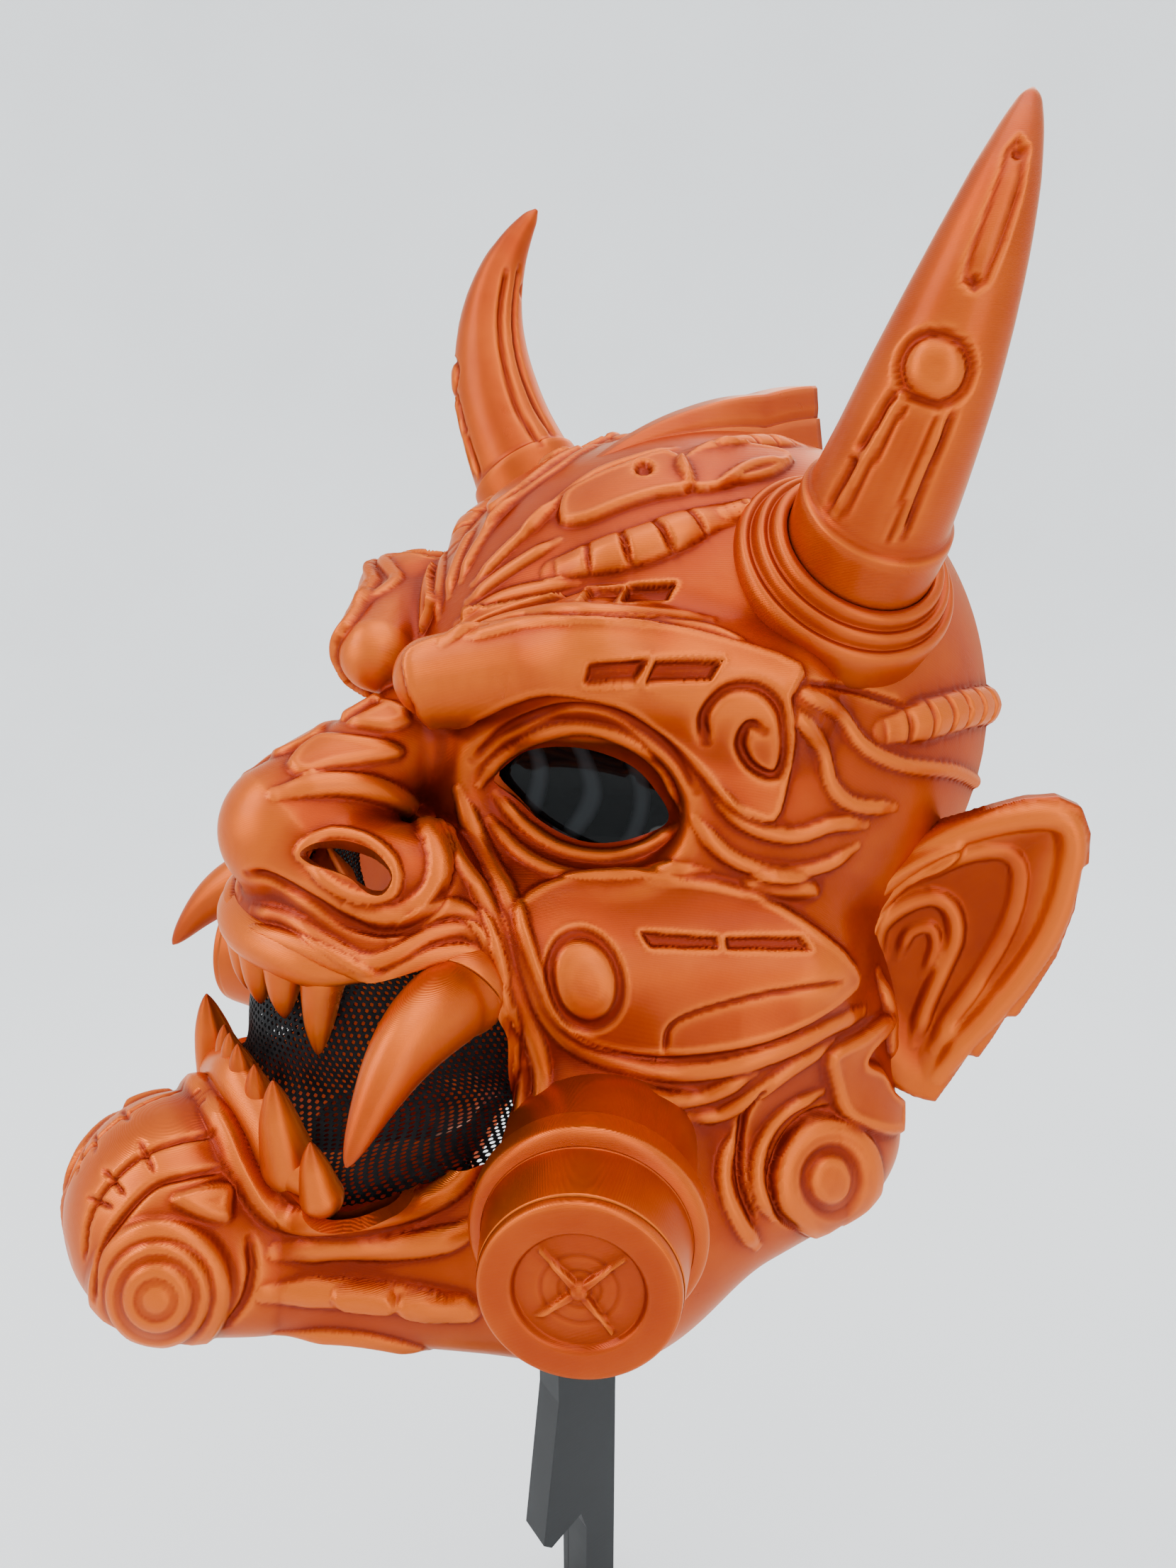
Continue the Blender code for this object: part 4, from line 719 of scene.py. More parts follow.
def add_to_scene(name, data):
    made = bpy.data.objects.new(name, data)
    bpy.context.scene.collection.objects.link(made)
    return made


def add_piece(name, mesh, material, nodes=()):
    """Links a mesh as a piece that rides on the mask and stands for its solids."""
    piece = add_to_scene(name, mesh)
    mesh.materials.append(material)
    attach(piece, BODY)
    if nodes:
        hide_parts(*nodes)
    return piece


def grid_faces(rows, columns, wrap=False):
    """Quads of a grid of points, closed round its rows with wrap."""
    index = np.arange(rows * columns).reshape(rows, columns)
    if wrap:
        index = np.concatenate([index, index[:, :1]], axis=1)
    return np.stack([index[:-1, :-1], index[:-1, 1:], index[1:, 1:], index[1:, :-1]], axis=-1).reshape(-1, 4)


def other_side(points):
    return points * np.array((-1.0, 1.0, 1.0))


def kept_in_box(points):
    low = np.array(CAD_BOX[0]) + BOX_MARGIN
    high = np.array(CAD_BOX[1]) - BOX_MARGIN
    return np.clip(points, low, high)


def mesh_normals(points, quads):
    """Unit normals of a mesh's vertices."""
    faces = np.cross(points[quads[:, 2]] - points[quads[:, 0]], points[quads[:, 3]] - points[quads[:, 1]])
    return unit(np.stack([
        np.bincount(quads.ravel(), weights=np.repeat(faces[:, axis], 4), minlength=len(points)) for axis in range(3)
    ], axis=-1))


def painted_shade_of(points, normals, middle, web):
    """Painted shade and highlight level: half for flat, up to one on crests for a painted highlight and down to zero
    in creases for painted shade.
    """
    value = 0.5
    smooth = points
    for rounds, scale in ((3, 0.16), (14, 0.5), (60, 1.8)):
        for _ in range(rounds):
            smooth = neighbour_mean(smooth, web)
            smooth[middle, 0] = 0.0
        bump = np.sum((points - smooth) * normals, axis=-1)
        value = value + np.clip(bump / (scale * MM), -1.0, 1.0) * 0.20
    return np.clip(value, 0.0, 1.0)


def half_outline(outline):
    """The whole outline from the half on the mask's left, whose ends lie in the middle plane."""
    return list(outline) + [(-x, z) for x, z in reversed(outline[1:-1])]


def metres(outline):
    """World places across and up of a front-view outline given in shares."""
    return np.array([(across(x), JAW_HEIGHT + z * HEAD_HEIGHT) for x, z in outline])


def signed_outline(points, outline):
    """Distance outside a closed front-view outline, negative inside it."""
    corners = smooth_line(metres(outline), 5, closed=True)
    flat = points[:, [0, 2]]
    distance = ring_distance(flat, corners)
    return np.where(inside_outline(flat, corners), -distance, distance)


def opening_field(points):
    """Distance outside every opening of the face, negative inside one."""
    flat = points.reshape(-1, 3)
    eye = signed_outline(flat, EYE_OUTLINE)
    front, back = place((0, EYE_CUT_FRONT, 0))[1], place((0, EYE_CUT_BACK, 0))[1]
    eye = np.where((flat[:, 1] > front) & (flat[:, 1] < back), eye, 1.0)
    mouth = signed_outline(flat, half_outline(MOUTH_OUTLINE))
    mouth = np.where(flat[:, 1] < place((0, MOUTH_CUT_BACK, 0))[1], mouth, 1.0)
    rim = on_form(smooth_line(NOSTRIL_OUTLINE, 4, closed=True))
    distance = ring_distance(flat, rim)
    middle = rim.mean(axis=0)
    reach = 1.2 * np.linalg.norm(rim - middle, axis=-1).max()
    inside = inside_outline(face_plan(flat), face_plan(rim)) & (np.linalg.norm(flat - middle, axis=-1) < reach)
    nostril = np.where(inside, -distance, distance)
    return np.minimum(np.minimum(eye, mouth), nostril).reshape(points.shape[:-1])


def snap_to_edge(points, field, quads):
    """Moves vertices that lie just beside an opening's edge onto it."""
    moved, value = points.copy(), field.copy()
    a, b = quads.ravel(), np.roll(quads, -1, axis=1).ravel()
    crossing = field[a] * field[b] < 0.0
    a, b = a[crossing], b[crossing]
    share = field[a] / (field[a] - field[b])
    at = points[a] + share[:, None] * (points[b] - points[a])
    for near, pick in ((share < SNAP_SHARE, a), (share > 1.0 - SNAP_SHARE, b)):
        moved[pick[near]] = at[near]
        value[pick[near]] = 0.0
    return moved, value


def clipped(points, field, extras, quads):
    """Quads where the field isn't negative, cut along its zero line, with the cut's edges."""
    lowest = field[quads].min(axis=1)
    highest = field[quads].max(axis=1)
    whole = quads[lowest >= 0.0]
    cut = quads[(lowest < 0.0) & (highest > 0.0)]
    added, made, extra_rows, new_faces = [], {}, [], []
    for quad in cut:
        ring = []
        for a, b in zip(quad, np.roll(quad, -1)):
            if field[a] >= 0.0:
                ring.append(int(a))
            if field[a] * field[b] < 0.0:
                key = (min(a, b), max(a, b))
                if key not in made:
                    share = field[key[0]] / (field[key[0]] - field[key[1]])
                    made[key] = len(points) + len(added)
                    added.append(points[key[0]] + share * (points[key[1]] - points[key[0]]))
                    extra_rows.append(extras[key[0]] + share * (extras[key[1]] - extras[key[0]]))
                ring.append(made[key])
        if len(ring) >= 3:
            new_faces.append(ring)
    value = field
    if added:
        points = np.concatenate([points, np.array(added)])
        extras = np.concatenate([extras, np.array(extra_rows)])
        value = np.concatenate([field, np.zeros(len(added))])
    blocks = [whole]
    for corners in (3, 4, 5, 6):
        blocks.append(np.array([face for face in new_faces if len(face) == corners], int).reshape(-1, corners))
    seen = {}
    for block in blocks:
        on_edge = block[np.sum(value[block] == 0.0, axis=1) >= 2]
        for face in on_edge:
            for a, b in zip(face, np.roll(face, -1)):
                if value[a] == 0.0 and value[b] == 0.0:
                    key = (min(a, b), max(a, b))
                    seen[key] = None if key in seen else (int(a), int(b))
    edges = [edge for edge in seen.values() if edge is not None]
    return points, blocks, extras, edges


def compact(points, blocks, *arrays):
    """Drops points that no face uses."""
    used = np.unique(np.concatenate([np.asarray(block).ravel() for block in blocks if len(block)]))
    lookup = np.full(len(points), -1)
    lookup[used] = np.arange(len(used))
    return (points[used], [lookup[np.asarray(block, int)] for block in blocks if len(block)]) + tuple(
        array[used] for array in arrays)


def reversed_faces(blocks):
    return [np.asarray(block)[:, ::-1] for block in blocks]


def build_face(scene):
    """The face's outer skin in four pieces, its edges and its inner wall."""
    orange = silk_material(scene, "silk orange print")
    base, quads, middle, web = form_mesh(FACE_PITCH)
    normals = form_normals(base)
    relief = Relief(base, normals, on_form)
    relief.plates(PLATES)
    relief.beads(BEADS)
    relief.hoses(HOSES)
    relief.grooves(GROOVES)
    relief.bosses(BOSSES)
    relief.slots(SLOTS)
    height = np.maximum(relief.height * scene.oni_mask_sizes.relief, -WALL * 0.8)
    skin = base + normals * height[:, None]
    skin[middle, 0] = 0.0
    skin = kept_in_box(skin)
    skin[:, 0] = np.maximum(skin[:, 0], 0.0)
    skin_normals = mesh_normals(skin, quads)
    skin_normals[middle, 0] = 0.0
    # shade: painted shade in the skin's creases and painted highlight on its crests, carried in the relief attribute
    shade = painted_shade_of(skin, skin_normals, middle, web)
    field = np.minimum(opening_field(base), rim_field(base))
    skin, field = snap_to_edge(skin, field, quads)
    extras = np.concatenate([skin_normals, shade[:, None], normals], axis=1)
    low_part = base[quads][..., 2].mean(axis=1) < place((0.0, 0.0, FACE_SPLIT))[2]
    wall_points = []
    for part, chosen in (("lower", low_part), ("upper", ~low_part)):
        points, blocks, more, edges = clipped(skin, field, extras, quads[chosen])
        wall_points.append(edge_wall(points, more[:, 4:7], edges, scene.oni_mask_sizes.wall))
        points, blocks, more = compact(points, blocks, more)
        for side, turn in (("left", 1.0), ("right", -1.0)):
            signs = np.array((turn, 1.0, 1.0))
            faces = blocks if turn > 0.0 else reversed_faces(blocks)
            mesh = make_mesh(f"face_{part}_{side}", points * signs, faces, unit(more[:, :3] * signs), more[:, 3])
            add_piece(f"face_{part}_{side}", mesh, orange, ("face_shell",))
    build_inside(scene, orange, np.concatenate(wall_points))


def edge_wall(points, normals, edges, depth):
    """Strip that runs in from an opening's edges, as quads of four points each."""
    if not edges:
        return np.zeros((0, 4, 3))
    pairs = np.array(edges)
    first, second = points[pairs[:, 0]], points[pairs[:, 1]]
    return np.stack([second, first, first - normals[pairs[:, 0]] * depth * EDGE_REACH,
                     second - normals[pairs[:, 1]] * depth * EDGE_REACH], axis=1)


def build_inside(scene, material, walls):
    """Inner wall of the mask with the edges of its openings and its rim."""
    depth = scene.oni_mask_sizes.wall
    inner, quads, middle, _ = form_mesh(INSIDE_PITCH)
    field = np.minimum(opening_field(inner), rim_field(inner))
    inner = inner - form_normals(inner) * depth
    inner[middle, 0] = 0.0
    inner, field = snap_to_edge(inner, field, quads)
    points, blocks, extras, _ = clipped(inner, field, np.zeros((len(inner), 1)), quads)
    points, blocks, extras = compact(points, blocks, extras)
    for side, turn in (("left", 1.0), ("right", -1.0)):
        signs = np.array((turn, 1.0, 1.0))
        inwards = reversed_faces(blocks) if turn > 0.0 else blocks
        mesh = make_mesh(f"inner_wall_{side}", points * signs, inwards, relief=np.full(len(points), 0.5))
        add_piece(f"inner_wall_{side}", mesh, material)
        corners = walls.reshape(-1, 3) * signs
        faces = [np.arange(len(corners)).reshape(-1, 4)]
        if turn < 0.0:
            faces = reversed_faces(faces)
        # The opening edges sit a little toward the painted highlight on the shade ramp; the inner wall sits at its
        # middle.
        mesh = make_mesh(f"face_edges_{side}", corners, faces, relief=np.full(len(corners), 0.55), smooth=False)
        add_piece(f"face_edges_{side}", mesh, material)


# Horns, laid out along and round their middle line
HORN_SECTIONS = (
    # along, radius
    (0.00, 1.00), (0.075, 1.00), (0.088, 0.985), (0.094, 0.93), (0.105, 0.905), (0.22, 0.82), (0.36, 0.73),
    (0.50, 0.62), (0.64, 0.50), (0.78, 0.37), (0.90, 0.23), (0.97, 0.13), (1.00, 0.03),
)
HORN_TURN = 0.22
HORN_CELLS = (96, 150)
HORN_BOSSES = (
    ("horn dome", (1193, 470), (60, 60), 0, ((0.0, 1.5), (0.40, 1.2), (0.62, 0.2), (0.70, -1.2), (0.84, -1.2),
                                             (0.92, 0.2), (1.0, 0.0))),
    ("slot pit top", (1300, 192), (10, 10), 0, ((0.0, -1.0), (0.6, -0.9), (1.0, 0.0))),
    ("slot pit foot", (1243, 356), (10, 10), 0, ((0.0, -1.0), (0.6, -0.9), (1.0, 0.0))),
)
HORN_SLOTS = (
    ("horn slot", 1.0, 0.8, ((1283, 190), (1299, 173), (1313, 188), (1302, 250), (1281, 313), (1261, 360),
                             (1243, 373), (1227, 358), (1232, 335), (1252, 280), (1276, 218))),
)
HORN_BEADS = (
    ("panel ridge left", 1.3, 1.1, ((1150, 504), (1134, 532), (1103, 586), (1063, 658))),
    ("panel ridge right", 1.3, 1.1, ((1206, 532), (1190, 572), (1168, 622), (1143, 688))),
    ("slot island", 2.6, 0.7, ((1299, 192), (1290, 228), (1270, 284), (1246, 352))),
)
HORN_GROOVES = (
    ("panel groove left", 1.7, 1.5, ((1146, 492), (1126, 522), (1094, 578), (1054, 652))),
    ("panel line left", 0.9, 0.8, ((1158, 512), (1142, 540), (1111, 594), (1072, 664))),
    ("panel groove right", 1.7, 1.5, ((1217, 524), (1201, 566), (1179, 616), (1155, 684))),
    ("panel line right", 0.9, 0.8, ((1196, 530), (1180, 572), (1158, 622), (1133, 692))),
)
FAR_HORN_GROOVES = (
    ("far groove 1", 1.8, 1.5, ((646, 345), (638, 400), (642, 455), (660, 520), (690, 568))),
    ("far groove 2", 1.8, 1.5, ((663, 340), (656, 400), (661, 455), (680, 512), (706, 556))),
)
FAR_HORN_BOSSES = (
    ("scallop 1", (674, 372), (12, 16), 0, ((0.0, -2.0), (0.6, -1.6), (1.0, 0.0))),
    ("scallop 2", (680, 408), (12, 16), 0, ((0.0, -2.2), (0.6, -1.8), (1.0, 0.0))),
    ("scallop 3", (688, 446), (12, 16), 0, ((0.0, -2.2), (0.6, -1.8), (1.0, 0.0))),
    ("scallop 4", (700, 484), (12, 16), 0, ((0.0, -2.2), (0.6, -1.8), (1.0, 0.0))),
    ("scallop 5", (714, 520), (12, 16), 0, ((0.0, -2.0), (0.6, -1.6), (1.0, 0.0))),
)
# Horn socket: share of its wall outwards from the foot, share of SOCKET_RISE
SOCKET_RINGS = ((0.00, 0.98), (0.05, 1.03), (0.16, 1.05), (0.27, 1.00), (0.32, 0.88), (0.34, 0.72), (0.38, 0.66),
                (0.44, 0.68), (0.52, 0.70), (0.60, 0.64), (0.64, 0.52), (0.66, 0.36), (0.70, 0.29), (0.76, 0.31),
                (0.84, 0.32), (0.92, 0.26), (0.98, 0.10), (1.00, -0.12))
SOCKET_SINK = 0.0018
ROUND_CELLS = 112

# Filter: radius share and length share from the rim inwards over the side
FILTER_PROFILE = ((0.560, 1.000), (0.740, 1.000), (0.775, 0.993), (0.795, 0.970), (0.805, 0.900), (0.812, 0.890),
                  (0.868, 0.440), (0.876, 0.420), (0.905, 0.405), (0.950, 0.385), (0.985, 0.355), (1.000, 0.310),
                  (1.000, 0.160), (0.990, 0.120), (0.950, 0.090), (0.905, 0.075), (0.895, 0.040), (0.895, -0.060))
DISC_PROFILE = ((0.0, -0.0022), (0.480, -0.0022), (0.500, -0.0020), (0.525, -0.0006), (0.545, -0.0001), (0.560, 0.0))
CROSS_ANGLES = (40.0, 126.0, 222.0, 312.0)
CROSS_LENGTH = 0.46
CROSS_WIDTH = 0.055
CROSS_RISE = 0.0016
PIN_RADIUS = 0.085
PIN_RISE = 0.0026
DISC_RINGS = (0.16, 0.30)
RING_WIDTH = 0.02
RING_DEPTH = 0.00035

EAR_EDGE = ((1050, 1180), (1062, 1165), (1100, 1125), (1150, 1085), (1200, 1055), (1260, 1035), (1310, 1020),
            (1350, 1016), (1378, 1028), (1389, 1060), (1387, 1100), (1378, 1106), (1370, 1160), (1348, 1220),
            (1322, 1262), (1298, 1298), (1284, 1298), (1266, 1326), (1248, 1350), (1236, 1346), (1215, 1375),
            (1192, 1404), (1165, 1398), (1136, 1385), (1100, 1340), (1060, 1290), (1040, 1230))
EAR_BEADS = (
    ("ear rim", 4.4, 3.4, ((1075, 1172), (1140, 1112), (1210, 1070), (1290, 1046), (1348, 1044), (1364, 1072),
                           (1356, 1130), (1334, 1192), (1300, 1246), (1262, 1292), (1226, 1330), (1196, 1372))),
    ("ear inner rim", 3.2, 2.2, ((1170, 1128), (1236, 1096), (1290, 1094), (1302, 1130), (1286, 1190), (1252, 1250),
                                 (1214, 1302), (1190, 1340))),
    ("ear swirl", 3.4, 3.0, ((1126, 1232), (1122, 1196), (1148, 1168), (1190, 1152), (1216, 1166), (1222, 1202),
                             (1204, 1246), (1184, 1290), (1168, 1336))),
    ("ear curl", 2.4, 2.0, ((1150, 1230), (1164, 1198), (1190, 1192), (1196, 1216), (1182, 1252))),
)
EAR_PLATES = (
    ("ear strap", 2.6, 1.4, ((1058, 1172), (1120, 1116), (1180, 1084), (1228, 1074), (1214, 1104), (1158, 1136),
                             (1122, 1180), (1104, 1232))),
)
EAR_CELLS = (96, 128)
EAR_SPAN = ((-0.016, 0.068), (-0.066, 0.054))
EAR_DISH = 0.0030
EAR_BEND = (0.12, 0.10)

TUSK_SECTIONS = (
    # along, radius
    (-0.16, 1.02), (-0.06, 1.10), (0.02, 1.06), (0.10, 0.98), (0.18, 0.97), (0.38, 0.86), (0.58, 0.68), (0.76, 0.47),
    (0.90, 0.28), (0.97, 0.14), (1.00, 0.03),
)
TOOTH_SECTIONS = (
    # along, radius
    (-0.40, 0.60), (-0.25, 1.00), (-0.08, 1.16), (0.10, 1.06), (0.30, 0.93), (0.55, 0.74), (0.78, 0.47),
    (0.92, 0.24), (1.00, 0.05),
)
TOOTH_FORWARD = -0.16
TOOTH_SINK = 0.0045
GUM_SINK = 0.0010
GUM_SWELL = 1.25
GUM_TAPER = 0.022
GUM_END = 0.3
UPPER_GUM_END = 4         # each gum runs along the mouth's outline up to this corner of it
LOWER_GUM_END = 10

CREST_SECTIONS = (
    # back, rise over the crown, width
    (0.12, -0.004, 0.16), (0.20, 0.010, 0.40), (0.28, 0.024, 0.70), (0.38, 0.045, 1.00), (0.46, 0.078, 1.00),
)
# Across and down of the crest's shoulder, as shares of half its width
CREST_SHOULDER = ((1.0, 1.1), (0.93, 0.98), (0.62, 0.52), (0.56, 0.50), (0.50, 0.36), (0.30, 0.04), (0.24, 0.0))
CREST_ROOT = 0.05
CREST_THICKNESS = 0.044
CREST_LEAN = 0.018


def facing_points(points, normals):
    """Lays places of the photograph on the points of a surface that face its camera."""
    toward = unit(CAMERA_PLACE - points)
    seen = np.nonzero(np.sum(toward * normals, axis=-1) > 0.03)[0]
    shown = points[seen]
    pixels = in_photo(shown)

    def lay(line):
        result = []
        for pixel in np.asarray(line, float):
            offset = np.hypot(*(pixels - pixel).T)
            order = np.argpartition(offset, 5)[:5]
            if offset[order].min() > 14.0:
                continue
            weight = 1.0 / (offset[order] + 0.5) ** 2
            result.append((shown[order] * weight[:, None]).sum(axis=0) / weight.sum())
        return np.array(result).reshape(-1, 3)

    return lay


def tube_rings(centres, headings, asides, radii, sides):
    """Rings of points round a line, one row each."""
    angles = np.linspace(0.0, 2.0 * math.pi, sides, endpoint=False)
    ups = np.cross(headings, asides)
    round_line = (np.cos(angles)[None, :, None] * asides[:, None] + np.sin(angles)[None, :, None] * ups[:, None])
    return centres[:, None] + round_line * np.asarray(radii)[:, None, None]


def ring_normals(grid):
    """Outward unit normals of a grid that is closed round its rows, and whether its faces look outwards."""
    wide = np.concatenate([grid[:, -1:], grid, grid[:, :1]], axis=1)
    rows = np.gradient(wide, axis=0)[:, 1:-1]
    columns = np.gradient(wide, axis=1)[:, 1:-1]
    normals = np.cross(columns, rows)
    outward = np.sum(normals * (grid - grid.mean(axis=(0, 1)))) > 0.0
    return unit(normals if outward else -normals), outward


def ring_painted_shade(grid, normals, scale=1.0):
    """Painted shade in the creases and painted highlight on the crests of a closed-round grid, for its colour."""
    value = 0.5
    for radius, depth in ((1, 0.25), (3, 0.8), (6, 2.0)):
        total = np.zeros_like(grid)
        for shift in range(-radius, radius + 1):
            total += np.roll(grid, shift, axis=1)
        total /= 2 * radius + 1
        padded = np.concatenate([np.repeat(total[:1], radius, axis=0), total, np.repeat(total[-1:], radius, axis=0)])
        smooth = sum(padded[shift:shift + len(grid)] for shift in range(2 * radius + 1)) / (2 * radius + 1)
        bump = np.sum((grid - smooth) * normals, axis=-1)
        value = value + np.clip(bump / (depth * scale * MM), -1.0, 1.0) * 0.18
    return np.clip(value, 0.0, 1.0)


def add_rings(name, grid, side, material, nodes=(), relief=None, cap_start=False, cap_end=False):
    """Piece from a grid closed round its rows, on one side or mirrored to the other."""
    rows, sides = grid.shape[:2]
    normals, outward = ring_normals(grid)
    shade = ring_painted_shade(grid, normals) if relief is None else relief
    points = kept_in_box(grid.reshape(-1, 3))
    faces = [grid_faces(rows, sides, wrap=True)]
    shade = shade.reshape(-1)
    for wanted, row in ((cap_start, 0), (cap_end, rows - 1)):
        if wanted:
            middle = len(points)
            ring = np.arange(sides) + row * sides
            points = np.concatenate([points, points[ring].mean(axis=0)[None]])
            shade = np.concatenate([shade, shade[ring].mean()[None]])
            cap = np.stack([ring, np.roll(ring, -1), np.full(sides, middle)], axis=1)
            faces.append(cap[:, ::-1] if row == 0 else cap)
    if side < 0.0:
        points = other_side(points)
    if (side < 0.0) == outward:
        faces = reversed_faces(faces)
    mesh = make_mesh(name, points, faces, relief=shade)
    return add_piece(name, mesh, material, nodes)


def side_name(name, side):
    return f"{name}_{'left' if side > 0 else 'right'}"


def socket_frame():
    """Middle of the horn socket on the form and its axis."""
    return spot(SOCKET_PLACE), unit(SOCKET_AXIS)


def horn_grid():
    """Rings of the near horn, from its foot in the socket to its tip."""
    point, axis = socket_frame()
    foot = point + axis * (SOCKET_RISE * SOCKET_FLOOR + 0.0003)
    seat = point + axis * (SOCKET_RISE + 0.0003)
    bend = foot + np.array(HORN_BEND) * HORN_LENGTH
    tip = foot + np.array(HORN_TIP) * HORN_LENGTH
    along = np.concatenate([np.linspace(0.0, 0.12, 34)[:-1], np.linspace(0.12, 0.9, HORN_CELLS[1] - 52),
                            1.0 - np.linspace(1.0, 0.0, 19)[:-1] ** 1.6 * 0.1])
    along = np.unique(np.clip(np.append(along, 1.0), 0.0, 1.0))
    radii = np.interp(along, [row[0] for row in HORN_SECTIONS], [row[1] for row in HORN_SECTIONS])
    smooth = np.convolve(np.pad(radii, 2, mode="edge"), np.full(5, 0.2), mode="valid")
    radii = np.where(along > 0.12, smooth, radii) * HORN_BASE_RADIUS
    t = along[:, None]
    centres = seat * (1.0 - t) ** 2 + bend * (2.0 * t * (1.0 - t)) + tip * t ** 2
    tangents = unit(np.gradient(centres, axis=0))
    share = np.minimum(t / HORN_TURN, 1.0)
    headings = unit(axis * (1.0 - share) + tangents * share)
    base_aside = unit(np.cross(axis, (0.0, 1.0, 0.0)))
    asides = unit(base_aside - headings * np.sum(headings * base_aside, axis=-1, keepdims=True))
    centres = np.concatenate([foot[None], centres])
    headings = np.concatenate([axis[None], headings])
    asides = np.concatenate([base_aside[None], asides])
    radii = np.concatenate([radii[:1], radii])
    return tube_rings(centres, headings, asides, radii, HORN_CELLS[0])


def build_horns(scene):
    orange = silk_material(scene, "silk orange print")
    grid = horn_grid()
    normals, _ = ring_normals(grid)
    flat = grid.reshape(-1, 3)
    near = Relief(flat, normals.reshape(-1, 3), facing_points(flat, normals.reshape(-1, 3)))
    near.beads(HORN_BEADS)
    near.grooves(HORN_GROOVES)
    near.slots(HORN_SLOTS)
    near.bosses(HORN_BOSSES)
    mirrored = other_side(flat)
    turned = other_side(normals.reshape(-1, 3))
    far = Relief(mirrored, turned, facing_points(mirrored, turned))
    far.grooves(FAR_HORN_GROOVES)
    far.bosses(FAR_HORN_BOSSES)
    height = (near.height + far.height).reshape(grid.shape[:2]) * scene.oni_mask_sizes.relief
    grid = grid + normals * height[..., None]
    for side in (1, -1):
        add_rings(side_name("horn", side), grid, side, orange, (side_name("horn", side),),
                  cap_start=True, cap_end=True)


def turned_grid(profile, centre, axis, sides):
    """Rings of a turned shape, its profile given as radius and height along the axis."""
    aside = unit(np.cross(axis, (0.0, 0.0, 1.0) if abs(axis[2]) < 0.9 else (1.0, 0.0, 0.0)))
    profile = np.asarray(profile, float)
    count = len(profile)
    centres = centre + axis * profile[:, 1:2]
    return tube_rings(centres, np.tile(axis, (count, 1)), np.tile(aside, (count, 1)), profile[:, 0], sides)


def sunk_ring(ring, axis, depth):
    """A ring lowered along an axis until it lies under the form by a depth."""
    points = ring.copy()
    for _ in range(80):
        away = form_distance(points) + depth
        points = points - axis * np.clip(away, 0.0, 0.004)[:, None] * 0.9
    return points


def build_sockets(scene):
    orange = silk_material(scene, "silk orange print")
    point, axis = socket_frame()
    foot = HORN_BASE_RADIUS + 0.0002
    wall = SOCKET_RADIUS - foot
    profile = smooth_line([(foot + wall * out, SOCKET_RISE * up) for out, up in SOCKET_RINGS], 3)
    floor = SOCKET_RISE * SOCKET_FLOOR
    profile = np.concatenate([[(foot, floor)], profile])
    grid = turned_grid(profile, point, axis, ROUND_CELLS)
    base = sunk_ring(grid[-1], axis, SOCKET_SINK)
    steps = [grid[-1] + (base - grid[-1]) * share for share in (0.25, 0.5, 0.75, 1.0)]
    grid = np.concatenate([grid, np.array(steps)])
    for side in (1, -1):
        add_rings(side_name("horn_socket", side), grid, side, orange,
                  (side_name("horn_socket", side),))


def build_filters(scene):
    orange = silk_material(scene, "silk orange print")
    point, axis = spot(FILTER_PLACE), unit(FILTER_AXIS)
    centre = point + axis * FILTER_STANDOFF
    profile = smooth_line([(FILTER_RADIUS * out, FILTER_LENGTH * along) for out, along in FILTER_PROFILE], 3)
    disc = smooth_line([(FILTER_RADIUS * out, FILTER_LENGTH + drop) for out, drop in DISC_PROFILE[1:]], 3)
    inner = np.linspace(0.02, disc[0, 0] / FILTER_RADIUS, 26)[:-1]
    flat = [(FILTER_RADIUS * out, FILTER_LENGTH + DISC_PROFILE[0][1]) for out in inner]
    grid = turned_grid(np.concatenate([flat, disc[:-1], profile]), centre, axis, ROUND_CELLS)
    count = len(inner)
    angles = np.linspace(0.0, 2.0 * math.pi, ROUND_CELLS, endpoint=False)
    radius = inner[:, None]
    rise = np.zeros((count, ROUND_CELLS))
    for turn in CROSS_ANGLES:
        away = (angles[None] - math.radians(turn) + math.pi) % (2.0 * math.pi) - math.pi
        aside = np.abs(np.sin(away)) * radius
        ahead = np.cos(away) * radius
        width = CROSS_WIDTH * (1.15 - ahead / CROSS_LENGTH)
        arm = np.clip(1.0 - aside / np.maximum(width, 1e-4), 0.0, 1.0) * (ahead > 0.0) * (ahead < CROSS_LENGTH)
        rise = np.maximum(rise, smooth_step(arm * 1.6) * CROSS_RISE)
    rise = np.maximum(rise, PIN_RISE * np.sqrt(np.clip(1.0 - (radius / PIN_RADIUS) ** 2, 0.0, 1.0)))
    groove = sum(np.exp(-((radius - ring) / RING_WIDTH) ** 2) for ring in DISC_RINGS)
    rise = rise - groove * RING_DEPTH * (rise < CROSS_RISE / 4.0)
    grid[:count] += axis * rise[..., None]
    base = sunk_ring(grid[-1], axis, SOCKET_SINK)
    steps = [grid[-1] + (base - grid[-1]) * share for share in (0.2, 0.4, 0.6, 0.8, 1.0)]
    grid = np.concatenate([grid, np.array(steps)])
    for side in (1, -1):
        add_rings(side_name("filter", side), grid, side, orange, (side_name("filter", side),),
                  cap_start=True)


def sweep(centres, radii, sides, flat_way):
    """Rings round a bent line, each square to it."""
    centres = np.asarray(centres, float)
    headings = unit(np.gradient(centres, axis=0))
    asides = unit(np.cross(headings, np.tile(flat_way, (len(centres), 1))))
    return tube_rings(centres, headings, asides, radii, sides)


